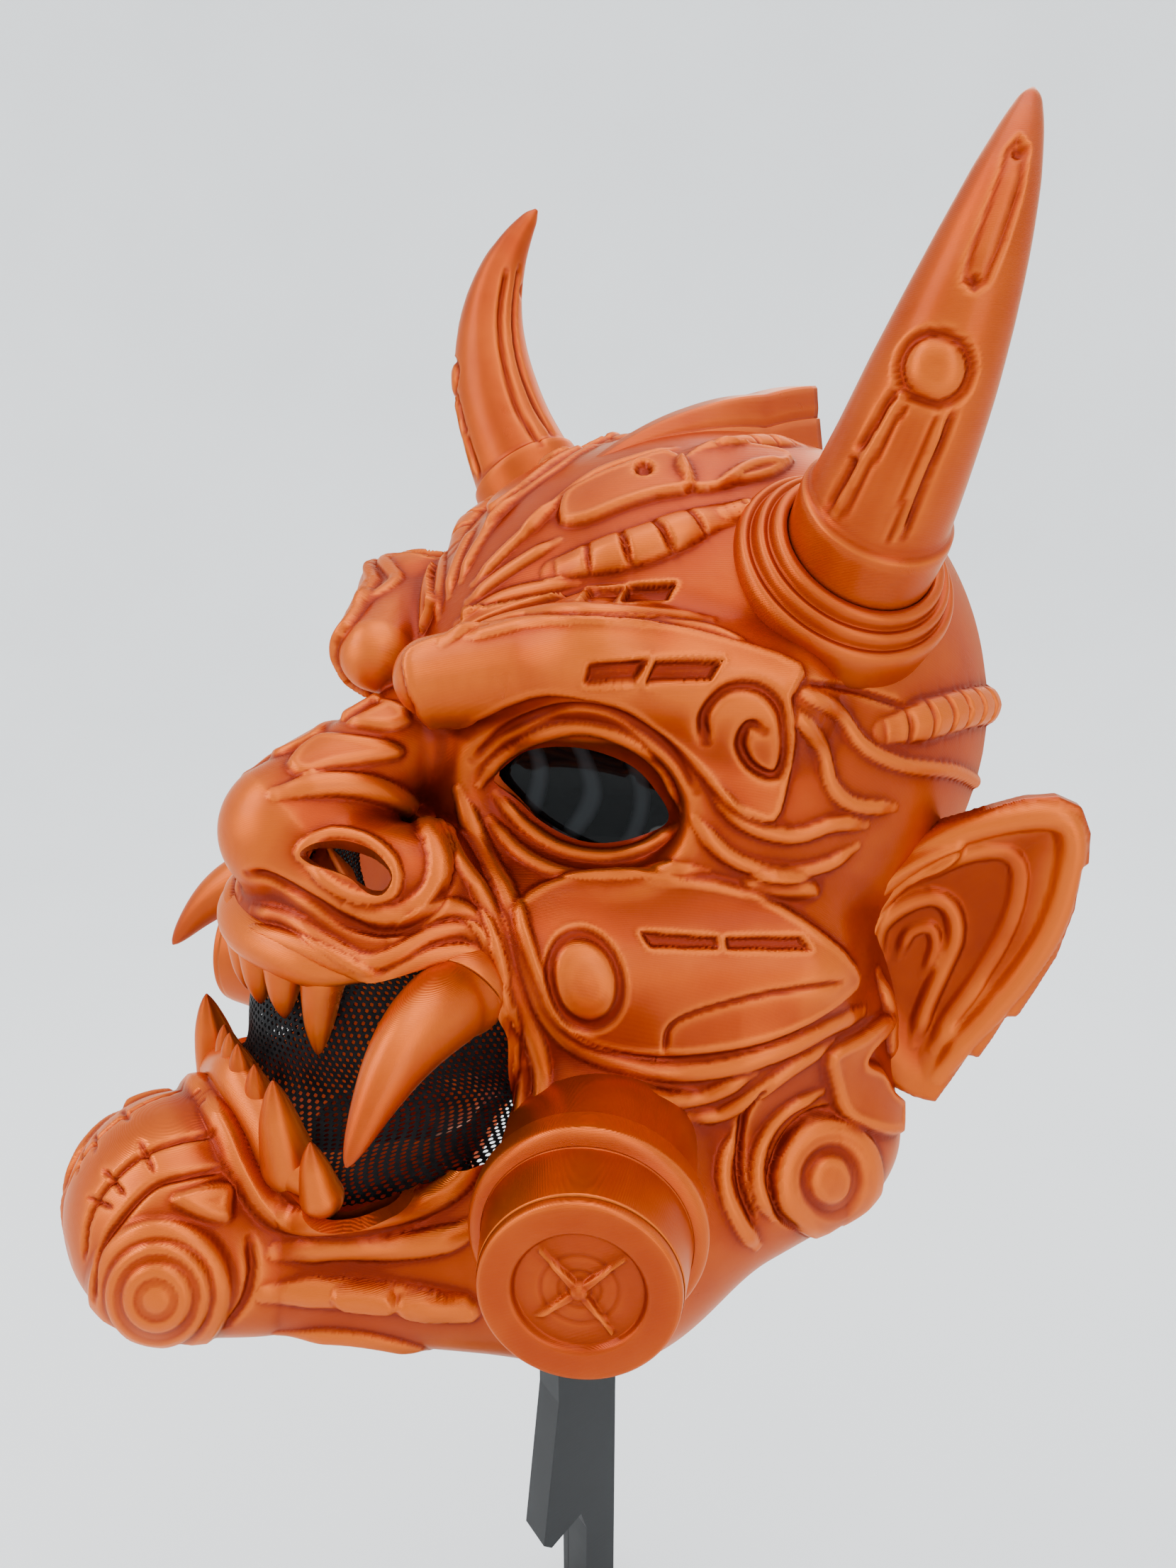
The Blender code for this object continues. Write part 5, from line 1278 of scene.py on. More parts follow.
def build_tusks(scene):
    orange = silk_material(scene, "silk orange print")
    point, axis, bow = spot(TUSK_PLACE), unit(TUSK_AXIS), unit(TUSK_BOW)
    sections = smooth_line(TUSK_SECTIONS, 7)
    along, radius = sections[:, 0], np.maximum(sections[:, 1], 0.02)
    lift = TUSK_BOW_RISE * np.sin(math.pi * np.maximum(along, 0.0)) * TUSK_LENGTH
    centres = point + axis * (along * TUSK_LENGTH)[:, None] + bow * lift[:, None]
    grid = sweep(centres, radius * TUSK_RADIUS, 56, (0.0, 0.0, 1.0))
    for side in (1, -1):
        add_rings(side_name("tusk", side), grid, side, orange, (side_name("tusk", side),),
                  cap_start=True, cap_end=True)


def tooth_grid(row, direction):
    x, z, lean, length, radius = row
    root, normal = front_spot(x, z)
    root = root - normal * TOOTH_SINK
    way = unit((lean, TOOTH_FORWARD, direction))
    sections = smooth_line(TOOTH_SECTIONS, 5)
    bow = np.array((0.0, 1.0, 0.0)) * 0.08 * length * TOOTH_LENGTH
    centres = [root + way * (along * length * TOOTH_LENGTH) + bow * max(along, 0.0) ** 2 for along, _ in sections]
    return sweep(centres, np.maximum(sections[:, 1], 0.03) * radius * TOOTH_LENGTH, 28, (0.0, 1.0, 0.0))


def gum_grid(edge, direction):
    """Round gum along one edge of the mouth, over both halves."""
    whole = [(-x, z) for x, z in reversed(edge[1:])] + list(edge)
    line = smooth_line(whole, 8)
    centres = []
    for x, z in line:
        point, normal = front_spot(x, z + direction * GUM_RADIUS * 0.6 / HEAD_HEIGHT)
        centres.append(point - normal * (WALL + GUM_SINK))
    centres = np.array(centres)
    for _ in range(3):
        centres[1:-1] = (centres[:-2] + centres[1:-1] * 2.0 + centres[2:]) / 4.0
    run = np.concatenate([[0.0], np.cumsum(np.linalg.norm(np.diff(centres, axis=0), axis=-1))])
    thinning = GUM_END + (1.0 - GUM_END) * smooth_step(np.minimum(run, run[-1] - run) / GUM_TAPER)
    return sweep(centres, GUM_RADIUS * GUM_SWELL * thinning, 24, (0.0, 0.0, 1.0))


def build_teeth(scene):
    tooth = silk_material(scene, "tooth orange print")
    upper_edge = MOUTH_OUTLINE[:UPPER_GUM_END]
    lower_edge = tuple(reversed(MOUTH_OUTLINE[LOWER_GUM_END:]))
    jaws = (("upper", UPPER_TEETH, -1, upper_edge), ("lower", LOWER_TEETH, 1, lower_edge))
    for name, rows, direction, edge in jaws:
        gum = gum_grid(edge, direction)
        add_rings(f"{name}_gum", gum, 1, tooth, (f"{name}_teeth",),
                  cap_start=True, cap_end=True)
        for number, row in enumerate(rows):
            for side in (1, -1):
                add_rings(side_name(f"{name}_tooth_{number + 1}", side), tooth_grid(row, direction), side, tooth,
                          cap_start=True, cap_end=True)


def behind_face(flat, inset):
    """Points at front-view places on the form drawn in by an inset."""
    points = np.stack([flat[:, 0], np.full(len(flat), place((0, -0.55, 0))[1]), flat[:, 1]], axis=1)
    ahead = np.array((0.0, 1.0, 0.0))
    for _ in range(RAY_STEPS):
        away = form_distance(points) + inset
        points = points + np.clip(away, -0.01, 0.02)[:, None] * 0.85 * ahead
    return points


def screen_table(low, high):
    """Places across and up over the mouth, and how far back the sheet lies at each."""
    table_x = np.linspace(low[0], high[0], MESH_TABLE[0])
    table_z = np.linspace(low[1], high[1], MESH_TABLE[1])
    grid_x, grid_z = np.meshgrid(table_x, table_z)
    sheet = behind_face(np.stack([grid_x.ravel(), grid_z.ravel()], axis=1), WALL + MESH_GAP)
    depth = np.minimum(sheet[:, 1].reshape(grid_x.shape), place((0, MESH_BACK, 0))[1])
    for _ in range(MESH_BLURS):
        wide = np.pad(depth, 1, mode="edge")
        depth = (wide[:-2, 1:-1] + wide[2:, 1:-1] + wide[1:-1, :-2] + wide[1:-1, 2:]) / 4.0
    return table_x, table_z, depth


def table_depth(x, z, low, high, depth):
    """Depths at places between those of the table."""
    rows, columns = depth.shape
    column = np.clip((x - low[0]) / (high[0] - low[0]) * (columns - 1), 0, columns - 1.001)
    row = np.clip((z - low[1]) / (high[1] - low[1]) * (rows - 1), 0, rows - 1.001)
    c, r = column.astype(int), row.astype(int)
    s, t = column - c, row - r
    return (depth[r, c] * (1 - s) * (1 - t) + depth[r, c + 1] * s * (1 - t)
            + depth[r + 1, c] * (1 - s) * t + depth[r + 1, c + 1] * s * t)


def build_mesh_screen(scene):
    """Perforated sheet behind the mouth, a honeycomb of six-sided holes bent to the face."""
    sizes = scene.oni_mask_sizes
    black = dark_material(scene, "black mesh")
    outline = smooth_line(metres(half_outline(MOUTH_OUTLINE)), 4, closed=True)
    low = outline.min(axis=0) - sizes.mesh_overlap
    high = outline.max(axis=0) + sizes.mesh_overlap
    table_x, table_z, depth = screen_table(low, high)
    middle = depth[len(table_z) // 2]
    arc = np.concatenate([[0.0], np.cumsum(np.hypot(np.diff(table_x), np.diff(middle)))])
    slope = np.abs(np.diff(depth, axis=0)).mean(axis=1)
    rise = np.concatenate([[0.0], np.cumsum(np.hypot(np.diff(table_z), slope))])
    pitch = sizes.mesh_pitch
    row, column = np.mgrid[0:int(rise[-1] / (pitch * MESH_ROW)), 0:int(arc[-1] / pitch)].reshape(2, -1)
    centres = np.stack([pitch * (column + 0.5 + 0.5 * (row % 2)), pitch * MESH_ROW * (row + 0.5)], axis=1)
    flat = np.stack([np.interp(centres[:, 0], arc, table_x), np.interp(centres[:, 1], rise, table_z)], axis=1)
    keep = inside_outline(flat, outline) | (ring_distance(flat, outline) < sizes.mesh_overlap)
    centres = centres[keep]
    angles = np.radians(np.arange(6) * 60.0 + 30.0)
    corner = np.stack([np.cos(angles), np.sin(angles)], axis=1)
    cell = centres[:, None] + corner * pitch / math.sqrt(3.0)
    hole = centres[:, None] + corner * pitch * sizes.mesh_hole
    plan = np.concatenate([cell, hole, hole], axis=1).reshape(-1, 2)
    x = np.interp(plan[:, 0], arc, table_x)
    z = np.interp(plan[:, 1], rise, table_z)
    points = np.stack([x, table_depth(x, z, low, high, depth), z], axis=1).reshape(-1, 18, 3)
    points[:, 12:, 1] += sizes.mesh_thickness
    index = np.arange(len(points))[:, None] * 18
    step = np.arange(6)
    after = (step + 1) % 6
    ring = np.stack([index + step, index + after, index + after + 6, index + step + 6], axis=-1).reshape(-1, 4)
    mesh = make_mesh("mouth_screen", points.reshape(-1, 3), [ring, ring + 6], smooth=False)
    add_piece("mouth_screen", mesh, black, ("mouth_mesh",))


def build_lenses(scene):
    """Smooth dark lenses behind the eye openings."""
    sizes = scene.oni_mask_sizes
    lens = lens_material(scene)
    outline = smooth_line(metres(EYE_OUTLINE), 5, closed=True)
    middle = outline.mean(axis=0)
    rays = outline - middle
    reach = np.linalg.norm(rays, axis=1, keepdims=True)
    outline = middle + rays * (1.0 + sizes.lens_overlap / reach)
    shares = np.linspace(0.0, 1.0, 13)[1:]
    flat = (middle + (outline - middle) * shares[:, None, None]).reshape(-1, 2)
    sheet = behind_face(flat, WALL + LENS_GAP)
    x, z = (flat - middle).T * 20.0
    terms = np.stack([np.ones(len(flat)), x, z, x * x, z * z, x * z], axis=1)
    fit, *_ = np.linalg.lstsq(terms, sheet[:, 1], rcond=None)
    sheet[:, 1] = np.maximum(terms @ fit, sheet[:, 1] - 0.0005)
    grid = sheet.reshape(len(shares), -1, 3)
    back = grid[::-1] + np.array((0.0, sizes.lens_thickness, 0.0))
    whole = np.concatenate([grid, back])
    for side in (1, -1):
        add_rings(side_name("eye_lens_sheet", side), whole, side, lens, (side_name("eye_lens", side),),
                  relief=np.full(whole.shape[:2], 0.5), cap_start=True, cap_end=True)


def crown_spot(back):
    """The top of the form in the middle plane, a share of HEAD_DEPTH back."""
    point = place((0.0, back, 1.4))[None, :]
    for _ in range(RAY_STEPS):
        point = point - form_distance(point)[:, None] * 0.9 * np.array((0.0, 0.0, 1.0))
    return point[0]


def crest_outline(back, rise, width):
    """The fin's section: a ridge with a groove along each shoulder."""
    half = CREST_THICKNESS * width / 2.0
    crown = crown_spot(back)
    high = crown[2] + rise * HEAD_HEIGHT
    low = crown[2] - CREST_ROOT * HEAD_HEIGHT
    corners = [(half, low)] + [(half * out, high - half * down) for out, down in CREST_SHOULDER]
    corners += [(-x, z) for x, z in reversed(corners)]
    return [(x, crown[1] - CREST_LEAN * (high - z) / (high - low), z) for x, z in corners]


def build_crest(scene):
    orange = silk_material(scene, "silk orange print")
    stations = np.array(CREST_SECTIONS)
    at = np.linspace(0.0, len(stations) - 1.0, 40)
    rows = np.stack([np.interp(at, range(len(stations)), stations[:, column]) for column in range(3)], axis=1)
    rings = [smooth_ring(crest_outline(*row)) for row in rows]
    add_rings("crest", np.array(rings), 1, orange, ("crest_fin",), cap_start=True, cap_end=True)


def smooth_ring(corners):
    """A section's corners with three points on each side, kept sharp."""
    corners = np.array(corners)
    after = np.roll(corners, -1, axis=0)
    return np.concatenate([np.linspace(a, b, 4, endpoint=False) for a, b in zip(corners, after)])


def ear_frame():
    """Root of the ear on the form and its outward, upward and facing directions."""
    out = unit(EAR_OUT)
    up = np.array((0.0, 0.0, 1.0))
    return spot(EAR_PLACE), out, up, np.cross(out, up)


def ear_plan(pixels):
    """Places of the photograph in the ear's own plane."""
    root, out, up, facing = ear_frame()
    rays = ray_of(pixels)
    middle = root + facing * EAR_THICKNESS
    reach = ((middle - CAMERA_PLACE) @ facing) / (rays @ facing)
    hits = CAMERA_PLACE + rays * reach[:, None] - root
    return np.stack([hits @ out, hits @ up], axis=1)


def ear_points(spots):
    """World places of spots in the ear's plane, on its bent sheet."""
    root, out, up, facing = ear_frame()
    bend = (EAR_BEND[0] * np.maximum(spots[:, 0], 0.0) ** 2 + EAR_BEND[1] * spots[:, 1] ** 2) / EAR_HEIGHT
    return root + out * spots[:, :1] + up * spots[:, 1:] + facing * (bend + EAR_THICKNESS * 0.6)[:, None]


def build_ears(scene):
    """Dished ears with a rolled rim, a strap in front and a curl in the bowl."""
    orange = silk_material(scene, "silk orange print")
    facing = ear_frame()[3]
    outline = ear_plan(np.array(EAR_EDGE, float))
    x, z = np.meshgrid(np.linspace(*EAR_SPAN[0], EAR_CELLS[0] + 1), np.linspace(*EAR_SPAN[1], EAR_CELLS[1] + 1))
    plan = np.stack([x, z], axis=-1).reshape(-1, 2)
    edge = ring_distance(plan, outline)
    field = np.where(inside_outline(plan, outline), edge, -edge)
    base = ear_points(plan)
    relief = Relief(base, np.tile(facing, (len(base), 1)), lambda line: ear_points(ear_plan(line)))
    relief.plates(EAR_PLATES)
    relief.beads(EAR_BEADS)
    dish = smooth_step((field - 0.006) / 0.014) * EAR_DISH
    round_edge = np.clip(1.0 - field / 0.002, 0.0, 1.0) ** 2 * 0.0014
    height = relief.height * scene.oni_mask_sizes.relief - dish - round_edge
    front = (base + facing * height[:, None]).reshape(EAR_CELLS[1] + 1, EAR_CELLS[0] + 1, 3)
    back = front - facing * (EAR_THICKNESS * 0.8)
    field = field.reshape(front.shape[:2])
    # Painted shade in the ear's dish and painted highlight on its raised rims and curl.
    shade = np.clip(0.5 + (height.reshape(front.shape[:2]) + EAR_DISH * 0.5) / (6.0 * MM), 0.0, 1.0)
    quads = grid_faces(*front.shape[:2])
    front, snapped = snap_to_edge(front.reshape(-1, 3), field.ravel(), quads)
    back, _ = snap_to_edge(back.reshape(-1, 3), field.ravel(), quads)
    extras = np.concatenate([shade.reshape(-1, 1), back], axis=1)
    points, blocks, more, edges = clipped(front, snapped, extras, quads)
    points, blocks, more, lookup = compact(points, blocks, more, np.arange(len(points)))
    number = {int(old): new for new, old in enumerate(lookup)}
    count = len(points)
    rim = np.array([(number[b], number[a], number[a] + count, number[b] + count) for a, b in edges])
    whole = np.concatenate([points, more[:, 1:4]])
    behind = [block[:, ::-1] + count for block in blocks]
    # The ear's back gets a little painted shade.
    shade = np.concatenate([more[:, 0], np.full(count, 0.45)])
    for side in (1, -1):
        faces = list(blocks) + behind + [rim]
        corners = kept_in_box(whole)
        if side < 0:
            corners = other_side(corners)
            faces = reversed_faces(faces)
        mesh = make_mesh(side_name("ear", side), corners, faces, relief=shade)
        add_piece(f"{side_name('ear', side)}_shell", mesh, orange, (side_name("ear", side),))


def add_node(tree, kind, settings=None, **inputs):
    """Adds a shader node, sets its own settings and links or fills its inputs by name."""
    made = tree.nodes.new(kind)
    for key, value in (settings or {}).items():
        setattr(made, key, value)
    for key, value in inputs.items():
        socket = made.inputs[key.replace("_", " ")]
        if isinstance(value, bpy.types.NodeSocket):
            tree.links.new(value, socket)
        else:
            socket.default_value = value
    return made


def new_material(name):
    material = bpy.data.materials.new(name)
    material.use_nodes = True
    tree = material.node_tree
    return material, tree, tree.nodes["Principled BSDF"]


def ramp(tree, value, stops):
    """Colour ramp through stops of place and colour."""
    made = add_node(tree, "ShaderNodeValToRGB", Fac=value)
    elements = made.color_ramp.elements
    while len(elements) < len(stops):
        elements.new(0.5)
    for element, (where, colour) in zip(elements, stops):
        element.position = where
        element.color = (*colour[:3], 1.0)
    return made.outputs["Color"]


def uneven_gloss(tree, shader, noise, low, high):
    """Lets a noise carry the roughness between two values."""
    rough = add_node(tree, "ShaderNodeMapRange", Value=noise.outputs["Fac"])
    rough.inputs["To Min"].default_value = low
    rough.inputs["To Max"].default_value = high
    tree.links.new(rough.outputs["Result"], shader.inputs["Roughness"])


def silk_material(scene, name):
    """Silk orange print with painted shade deeper in the creases, a painted peach highlight on the crests, random
    tone and fine layer lines.
    """
    if name in bpy.data.materials:
        return bpy.data.materials[name]
    colours = scene.oni_mask_colours
    sizes = scene.oni_mask_sizes
    tooth = name.startswith("tooth")
    main = colours.tooth if tooth else colours.orange
    material, tree, shader = new_material(name)
    where = add_node(tree, "ShaderNodeTexCoord").outputs["Object"]
    # The relief attribute holds the painted shade and highlight level of each point.
    relief = add_node(tree, "ShaderNodeAttribute", {"attribute_name": "relief"}).outputs["Fac"]
    cloud = add_node(tree, "ShaderNodeTexNoise", Vector=where, Scale=38.0, Detail=3.0, Roughness=0.55)
    shift = add_node(tree, "ShaderNodeMath", {"operation": "MULTIPLY_ADD"})
    tree.links.new(cloud.outputs["Fac"], shift.inputs[0])
    shift.inputs[1].default_value = 0.34
    shift.inputs[2].default_value = -0.17
    mixed = add_node(tree, "ShaderNodeMath", {"operation": "ADD"})
    tree.links.new(relief, mixed.inputs[0])
    tree.links.new(shift.outputs[0], mixed.inputs[1])
    # Painted shade: creases take the crease-shade orange; painted highlight: crests take the light orange; the cloud
    # adds random tone.
    colour = ramp(tree, mixed.outputs[0], ((0.12, colours.painted_crease_shade), (0.50, main), (0.86, colours.light)))
    tree.links.new(colour, shader.inputs["Base Color"])
    lines = add_node(tree, "ShaderNodeTexWave", {"wave_type": "BANDS", "bands_direction": "Z"}, Vector=where,
                     Scale=2.0 * math.pi / (20.0 * sizes.layer), Distortion=0.6, Detail=1.0)
    grain = add_node(tree, "ShaderNodeTexNoise", Vector=where, Scale=900.0, Detail=2.0)
    bump = add_node(tree, "ShaderNodeBump", Strength=0.6, Distance=0.00006, Height=lines.outputs["Fac"])
    second = add_node(tree, "ShaderNodeBump", Strength=0.35, Distance=0.00008, Height=grain.outputs["Fac"])
    tree.links.new(bump.outputs["Normal"], second.inputs["Normal"])
    tree.links.new(second.outputs["Normal"], shader.inputs["Normal"])
    uneven_gloss(tree, shader, cloud, 0.22, 0.40)
    shader.inputs["Metallic"].default_value = 0.75
    shader.inputs["IOR"].default_value = 1.5
    shader.inputs["Specular IOR Level"].default_value = 0.25
    shader.inputs["Specular Tint"].default_value = (1.0, 0.55, 0.26, 1.0)
    shader.inputs["Coat Weight"].default_value = 0.12
    shader.inputs["Coat Roughness"].default_value = 0.22
    return material


def dark_material(scene, name):
    """Black coated sheet with a faint uneven sheen."""
    material, tree, shader = new_material(name)
    where = add_node(tree, "ShaderNodeTexCoord").outputs["Object"]
    cloud = add_node(tree, "ShaderNodeTexNoise", Vector=where, Scale=160.0, Detail=3.0)
    colour = ramp(tree, cloud.outputs["Fac"], ((0.3, scene.oni_mask_colours.mesh), (0.8, (0.008, 0.0085, 0.009))))
    tree.links.new(colour, shader.inputs["Base Color"])
    uneven_gloss(tree, shader, cloud, 0.38, 0.6)
    shader.inputs["Specular IOR Level"].default_value = 0.08
    return material


def lens_material(scene):
    """Dark glossy lens with faint upright painted reflection strips in its colour, and smears in its gloss."""
    material, tree, shader = new_material("dark lens")
    where = add_node(tree, "ShaderNodeTexCoord").outputs["Object"]
    smear = add_node(tree, "ShaderNodeTexNoise", Vector=where, Scale=60.0, Detail=2.0)
    painted_reflection_strips = add_node(tree, "ShaderNodeTexWave", {"wave_type": "BANDS", "bands_direction": "X"}, Vector=where,
                      Scale=26.0, Distortion=3.0, Detail=1.0)
    # Painted reflection: lighter upright strips in the lens's colour.
    colour = ramp(tree, painted_reflection_strips.outputs["Fac"], ((0.62, scene.oni_mask_colours.lens), (0.97, (0.018, 0.021, 0.023))))
    tree.links.new(colour, shader.inputs["Base Color"])
    uneven_gloss(tree, shader, smear, 0.03, 0.09)
    shader.inputs["Specular IOR Level"].default_value = 0.12
    return material


def stand_material(scene):
    """Dark grey print with upright layer lines and a dry, brushed look."""
    material, tree, shader = new_material("grey stand print")
    where = add_node(tree, "ShaderNodeTexCoord").outputs["Object"]
    cloud = add_node(tree, "ShaderNodeTexNoise", Vector=where, Scale=70.0, Detail=5.0, Roughness=0.7)
    grey = scene.oni_mask_colours.stand
    pale = [channel * 1.5 + 0.003 for channel in grey]
    colour = ramp(tree, cloud.outputs["Fac"], ((0.25, grey), (0.8, pale)))
    tree.links.new(colour, shader.inputs["Base Color"])
    stretched = add_node(tree, "ShaderNodeMapping", Vector=where, Scale=(60.0, 60.0, 2200.0))
    lines = add_node(tree, "ShaderNodeTexNoise", Vector=stretched.outputs["Vector"], Scale=1.0, Detail=2.0)
    bump = add_node(tree, "ShaderNodeBump", Strength=0.5, Distance=0.0001, Height=lines.outputs["Fac"])
    tree.links.new(bump.outputs["Normal"], shader.inputs["Normal"])
    uneven_gloss(tree, shader, cloud, 0.42, 0.62)
    shader.inputs["Specular IOR Level"].default_value = 0.2
    return material


LIGHTS = (
    # name, place, size, power, colour
    ("key light", (-0.6, -1.5, 1.7), (1.0, 1.0), 19.0, (1.0, 0.98, 0.95)),
    ("side light", (1.7, -0.1, 1.2), (0.9, 1.2), 10.0, (0.97, 0.98, 1.0)),
    ("top light", (0.0, 0.2, 2.1), (1.3, 1.3), 14.0, (1.0, 1.0, 1.0)),
    ("back light", (-0.9, 1.4, 1.4), (0.9, 0.9), 7.0, (1.0, 1.0, 1.0)),
)
LIGHT_AIM = (0.0, 0.0, 0.5)
STUDIO_FILLET = 0.45
STUDIO_HEIGHT = 1.1
STUDIO_FLOOR = -0.0005


def build_stand(scene):
    """The stand keeps its solids and gets its finish."""
    grey = stand_material(scene)
    for name in ("post_plate", "post_side_plate", "head_rest", "base_plate"):
        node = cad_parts[name]
        node.data.materials.clear()
        node.data.materials.append(grey)


def paper_material(scene):
    """Matt studio paper with faint clouds."""
    paper = scene.oni_mask_colours.paper
    material, tree, shader = new_material("studio paper")
    where = add_node(tree, "ShaderNodeTexCoord").outputs["Object"]
    cloud = add_node(tree, "ShaderNodeTexNoise", Vector=where, Scale=3.0, Detail=2.0)
    pale = [channel * 0.96 for channel in paper]
    colour = ramp(tree, cloud.outputs["Fac"], ((0.3, pale), (0.7, paper)))
    tree.links.new(colour, shader.inputs["Base Color"])
    shader.inputs["Roughness"].default_value = 0.9
    return material


def build_backdrop(scene):
    """Floor that curves up into a round wall."""
    radius = scene.oni_mask_sizes.studio_radius
    fillet = radius * STUDIO_FILLET
    profile = [(0.02, 0.0), (radius * 0.3, 0.0), (radius - fillet, 0.0)]
    for turn in np.linspace(0.0, math.pi / 2.0, 14)[1:]:
        profile.append((radius - fillet + fillet * math.sin(turn), fillet - fillet * math.cos(turn)))
    profile.append((radius, radius * STUDIO_HEIGHT))
    centre = np.array((0.0, 0.0, STUDIO_FLOOR))
    grid = turned_grid(profile, centre, np.array((0.0, 0.0, 1.0)), 96)
    rows, sides = grid.shape[:2]
    points = np.concatenate([grid.reshape(-1, 3), [centre]])
    ring = np.arange(sides)
    middle = np.stack([ring, np.roll(ring, -1), np.full(sides, len(points) - 1)], axis=1)
    studio = add_to_scene("studio", make_mesh("studio", points, [grid_faces(rows, sides, wrap=True), middle]))
    studio.data.materials.append(paper_material(scene))


def build_stage(scene):
    """Pale round studio, its lights and the photograph's camera."""
    colours = scene.oni_mask_colours
    sizes = scene.oni_mask_sizes
    build_backdrop(scene)
    for name, where, size, power, colour in LIGHTS:
        lamp = bpy.data.lights.new(name, "AREA")
        lamp.shape = "RECTANGLE"
        lamp.size, lamp.size_y = size
        lamp.energy = power * sizes.light
        lamp.color = colour
        light = add_to_scene(name, lamp)
        light.location = where
        aim = Vector(LIGHT_AIM) - Vector(where)
        light.rotation_euler = aim.to_track_quat("-Z", "Y").to_euler()
    world = bpy.data.worlds.new("studio air")
    scene.world = world
    world.use_nodes = True
    air = world.node_tree.nodes["Background"]
    air.inputs["Color"].default_value = (*colours.air, 1.0)
    air.inputs["Strength"].default_value = sizes.air
    lens = bpy.data.cameras.new("camera")
    lens.sensor_width = SENSOR
    lens.lens = SENSOR * PHOTO_FOCUS / PHOTO_HEIGHT
    camera = add_to_scene("camera", lens)
    turn = Matrix((RIGHT, UPWARD, BACK)).transposed()
    camera.matrix_world = Matrix.Translation(Vector(CAMERA_PLACE)) @ turn.to_4x4()
    scene.camera = camera


def colour_property(name, description, default):
    return FloatVectorProperty(name=name, description=description, default=default, size=3, min=0.0, max=1.0,
                               subtype="COLOR")


def length_property(name, description, default, low, high):
    return FloatProperty(name=name, description=description, default=default, min=low, max=high,
                         subtype="DISTANCE", unit="LENGTH")


class OniMaskSizes(bpy.types.PropertyGroup):
    """Sizes of the mask's looks that can be changed before it is built."""

    relief: FloatProperty(name="Relief", description="Height of the folds, plates and hoses over the form",
                          default=1.0, min=0.0, max=1.5, subtype="FACTOR")
    wall: length_property("Wall", "Thickness of the printed shell", WALL, 0.002, 0.006)
    layer: length_property("Layer", "Height of one printed layer", 0.00028, 0.0001, 0.0006)
    mesh_pitch: length_property("Mesh pitch", "Distance between holes of the mouth mesh", 0.0023, 0.0015, 0.004)
    mesh_hole: FloatProperty(name="Mesh hole", description="Radius of a hole as a share of the pitch",
                             default=0.33, min=0.2, max=0.5, subtype="FACTOR")
    mesh_thickness: length_property("Mesh thickness", "Thickness of the mouth mesh", 0.0004, 0.0002, 0.001)
    mesh_overlap: length_property("Mesh overlap", "How far the mesh runs behind the lips", 0.004, 0.001, 0.006)
    lens_overlap: length_property("Lens overlap", "How far a lens runs behind its lids", 0.004, 0.001, 0.006)
    lens_thickness: length_property("Lens thickness", "Thickness of an eye lens", 0.0015, 0.0005, 0.003)
    studio_radius: length_property("Studio radius", "Radius of the round backdrop", 2.6, 1.5, 6.0)
    light: FloatProperty(name="Light", description="Share of the studio lamps' power", default=1.0, min=0.0, max=4.0)
    air: FloatProperty(name="Air", description="Strength of the light from above", default=1.9, min=0.0, max=4.0)


class OniMaskColours(bpy.types.PropertyGroup):
    """Colours of the mask, its stand and the studio."""

    orange: colour_property("Orange", "Silk orange of the face, horns and ears", (0.340, 0.036, 0.001))
    # Painted shade: the orange that creases take.
    painted_crease_shade: colour_property("Deep orange", "Orange in the creases", (0.185, 0.011, 0.0003))
    # Painted highlight: the peach orange that crests take.
    light: colour_property("Light orange", "Orange on the crests", (0.56, 0.100, 0.006))
    tooth: colour_property("Tooth orange", "Deeper orange of the teeth and gums", (0.235, 0.021, 0.0008))
    mesh: colour_property("Mesh black", "Black of the mouth mesh", (0.003, 0.0032, 0.0035))
    lens: colour_property("Lens black", "Black of the eye lenses", (0.0015, 0.0022, 0.0024))
    stand: colour_property("Stand grey", "Grey of the stand", (0.011, 0.0115, 0.012))
    paper: colour_property("Paper", "Colour of the studio floor and backdrop", (0.86, 0.875, 0.88))
    air: colour_property("Air", "Colour of the light from above", (0.93, 0.96, 1.0))


class ONI_OT_face(bpy.types.Operator):
    """Build the face shell with its folds, plates, hoses and openings"""

    bl_idname = "oni_mask.face"
    bl_label = "Face"

    def execute(self, context):
        build_face(context.scene)
        return {"FINISHED"}


class ONI_OT_crest(bpy.types.Operator):
    """Build the ridge on the crown"""

    bl_idname = "oni_mask.crest"
    bl_label = "Crest"

    def execute(self, context):
        build_crest(context.scene)
        return {"FINISHED"}


class ONI_OT_horns(bpy.types.Operator):
    """Build both horns"""

    bl_idname = "oni_mask.horns"
    bl_label = "Horns"

    def execute(self, context):
        build_horns(context.scene)
        return {"FINISHED"}


class ONI_OT_sockets(bpy.types.Operator):
    """Build the ringed sockets that the horns stand in"""

    bl_idname = "oni_mask.sockets"
    bl_label = "Horn sockets"

    def execute(self, context):
        build_sockets(context.scene)
        return {"FINISHED"}


class ONI_OT_ears(bpy.types.Operator):
    """Build both ears"""

    bl_idname = "oni_mask.ears"
    bl_label = "Ears"

    def execute(self, context):
        build_ears(context.scene)
        return {"FINISHED"}


class ONI_OT_filters(bpy.types.Operator):
    """Build the round cheek filters"""

    bl_idname = "oni_mask.filters"
    bl_label = "Filters"

    def execute(self, context):
        build_filters(context.scene)
        return {"FINISHED"}


class ONI_OT_tusks(bpy.types.Operator):
    """Build both tusks"""

    bl_idname = "oni_mask.tusks"
    bl_label = "Tusks"

    def execute(self, context):
        build_tusks(context.scene)
        return {"FINISHED"}


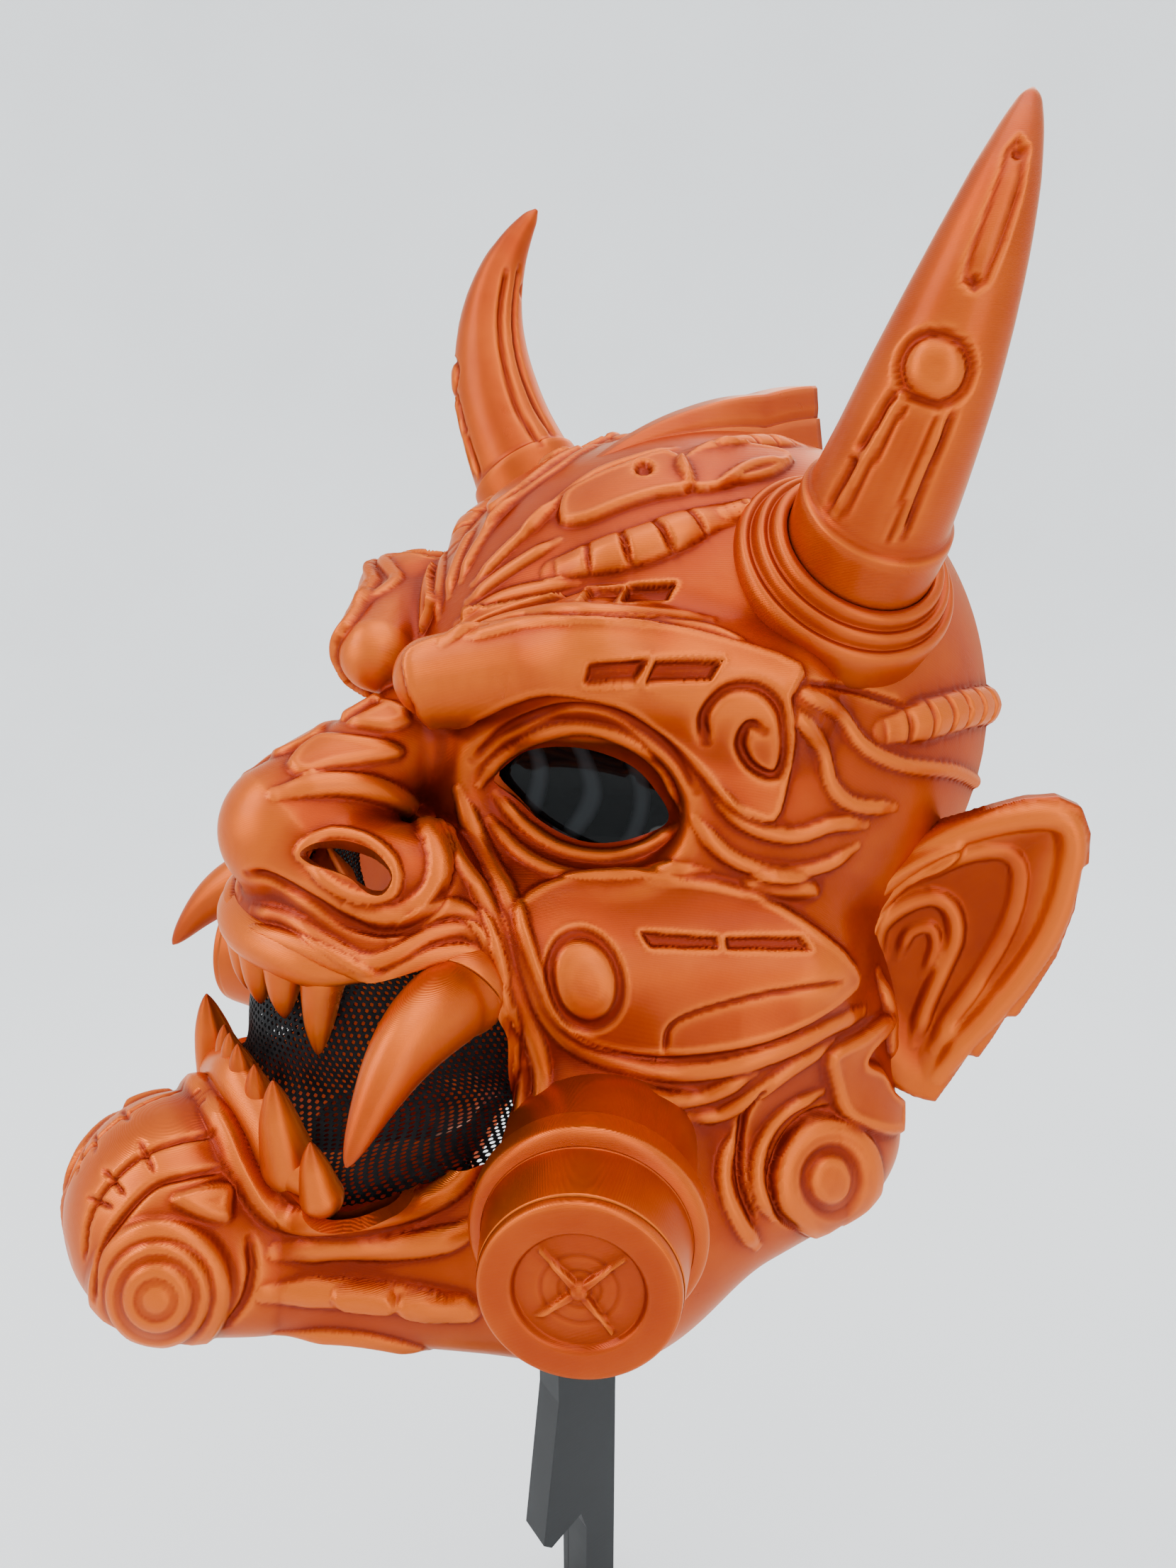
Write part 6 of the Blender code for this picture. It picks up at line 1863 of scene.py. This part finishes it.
class ONI_OT_teeth(bpy.types.Operator):
    """Build the gums and teeth of both jaws"""

    bl_idname = "oni_mask.teeth"
    bl_label = "Teeth"

    def execute(self, context):
        build_teeth(context.scene)
        return {"FINISHED"}


class ONI_OT_mouth_screen(bpy.types.Operator):
    """Build the perforated screen behind the mouth"""

    bl_idname = "oni_mask.mouth_screen"
    bl_label = "Mouth screen"

    def execute(self, context):
        build_mesh_screen(context.scene)
        return {"FINISHED"}


class ONI_OT_lenses(bpy.types.Operator):
    """Build the dark lenses behind the eye openings"""

    bl_idname = "oni_mask.lenses"
    bl_label = "Eye lenses"

    def execute(self, context):
        build_lenses(context.scene)
        return {"FINISHED"}


class ONI_OT_stand(bpy.types.Operator):
    """Finish the plate stand"""

    bl_idname = "oni_mask.stand"
    bl_label = "Stand"

    def execute(self, context):
        build_stand(context.scene)
        return {"FINISHED"}


class ONI_OT_studio(bpy.types.Operator):
    """Set up the studio, its lights and the camera"""

    bl_idname = "oni_mask.studio"
    bl_label = "Studio"

    def execute(self, context):
        build_stage(context.scene)
        return {"FINISHED"}


OPERATORS = (ONI_OT_face, ONI_OT_crest, ONI_OT_horns, ONI_OT_sockets, ONI_OT_ears, ONI_OT_filters, ONI_OT_tusks,
             ONI_OT_teeth, ONI_OT_mouth_screen, ONI_OT_lenses, ONI_OT_stand, ONI_OT_studio)


class ONI_PT_panel(bpy.types.Panel):
    """Sizes, colours and pieces of the mask"""

    bl_idname = "ONI_PT_panel"
    bl_label = "Oni Mask"
    bl_space_type = "VIEW_3D"
    bl_region_type = "UI"
    bl_category = "Oni Mask"

    def draw(self, context):
        layout = self.layout
        for group, label in ((context.scene.oni_mask_sizes, "Sizes"), (context.scene.oni_mask_colours, "Colours")):
            box = layout.box()
            box.label(text=label)
            for name in group.__annotations__:
                box.prop(group, name)
        column = layout.column(align=True)
        for operator in OPERATORS:
            column.operator(operator.bl_idname)


CLASSES = (OniMaskSizes, OniMaskColours) + OPERATORS + (ONI_PT_panel,)


def register():
    for made in CLASSES:
        bpy.utils.register_class(made)
    bpy.types.Scene.oni_mask_sizes = PointerProperty(type=OniMaskSizes)
    bpy.types.Scene.oni_mask_colours = PointerProperty(type=OniMaskColours)


def unregister():
    del bpy.types.Scene.oni_mask_colours
    del bpy.types.Scene.oni_mask_sizes
    for made in reversed(CLASSES):
        bpy.utils.unregister_class(made)


def main():
    register()
    bpy.ops.oni_mask.face()
    bpy.ops.oni_mask.crest()
    bpy.ops.oni_mask.horns()
    bpy.ops.oni_mask.sockets()
    bpy.ops.oni_mask.ears()
    bpy.ops.oni_mask.filters()
    bpy.ops.oni_mask.tusks()
    bpy.ops.oni_mask.teeth()
    bpy.ops.oni_mask.mouth_screen()
    bpy.ops.oni_mask.lenses()
    bpy.ops.oni_mask.stand()
    bpy.ops.oni_mask.studio()
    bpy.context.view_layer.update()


if __name__ == "__main__":
    main()
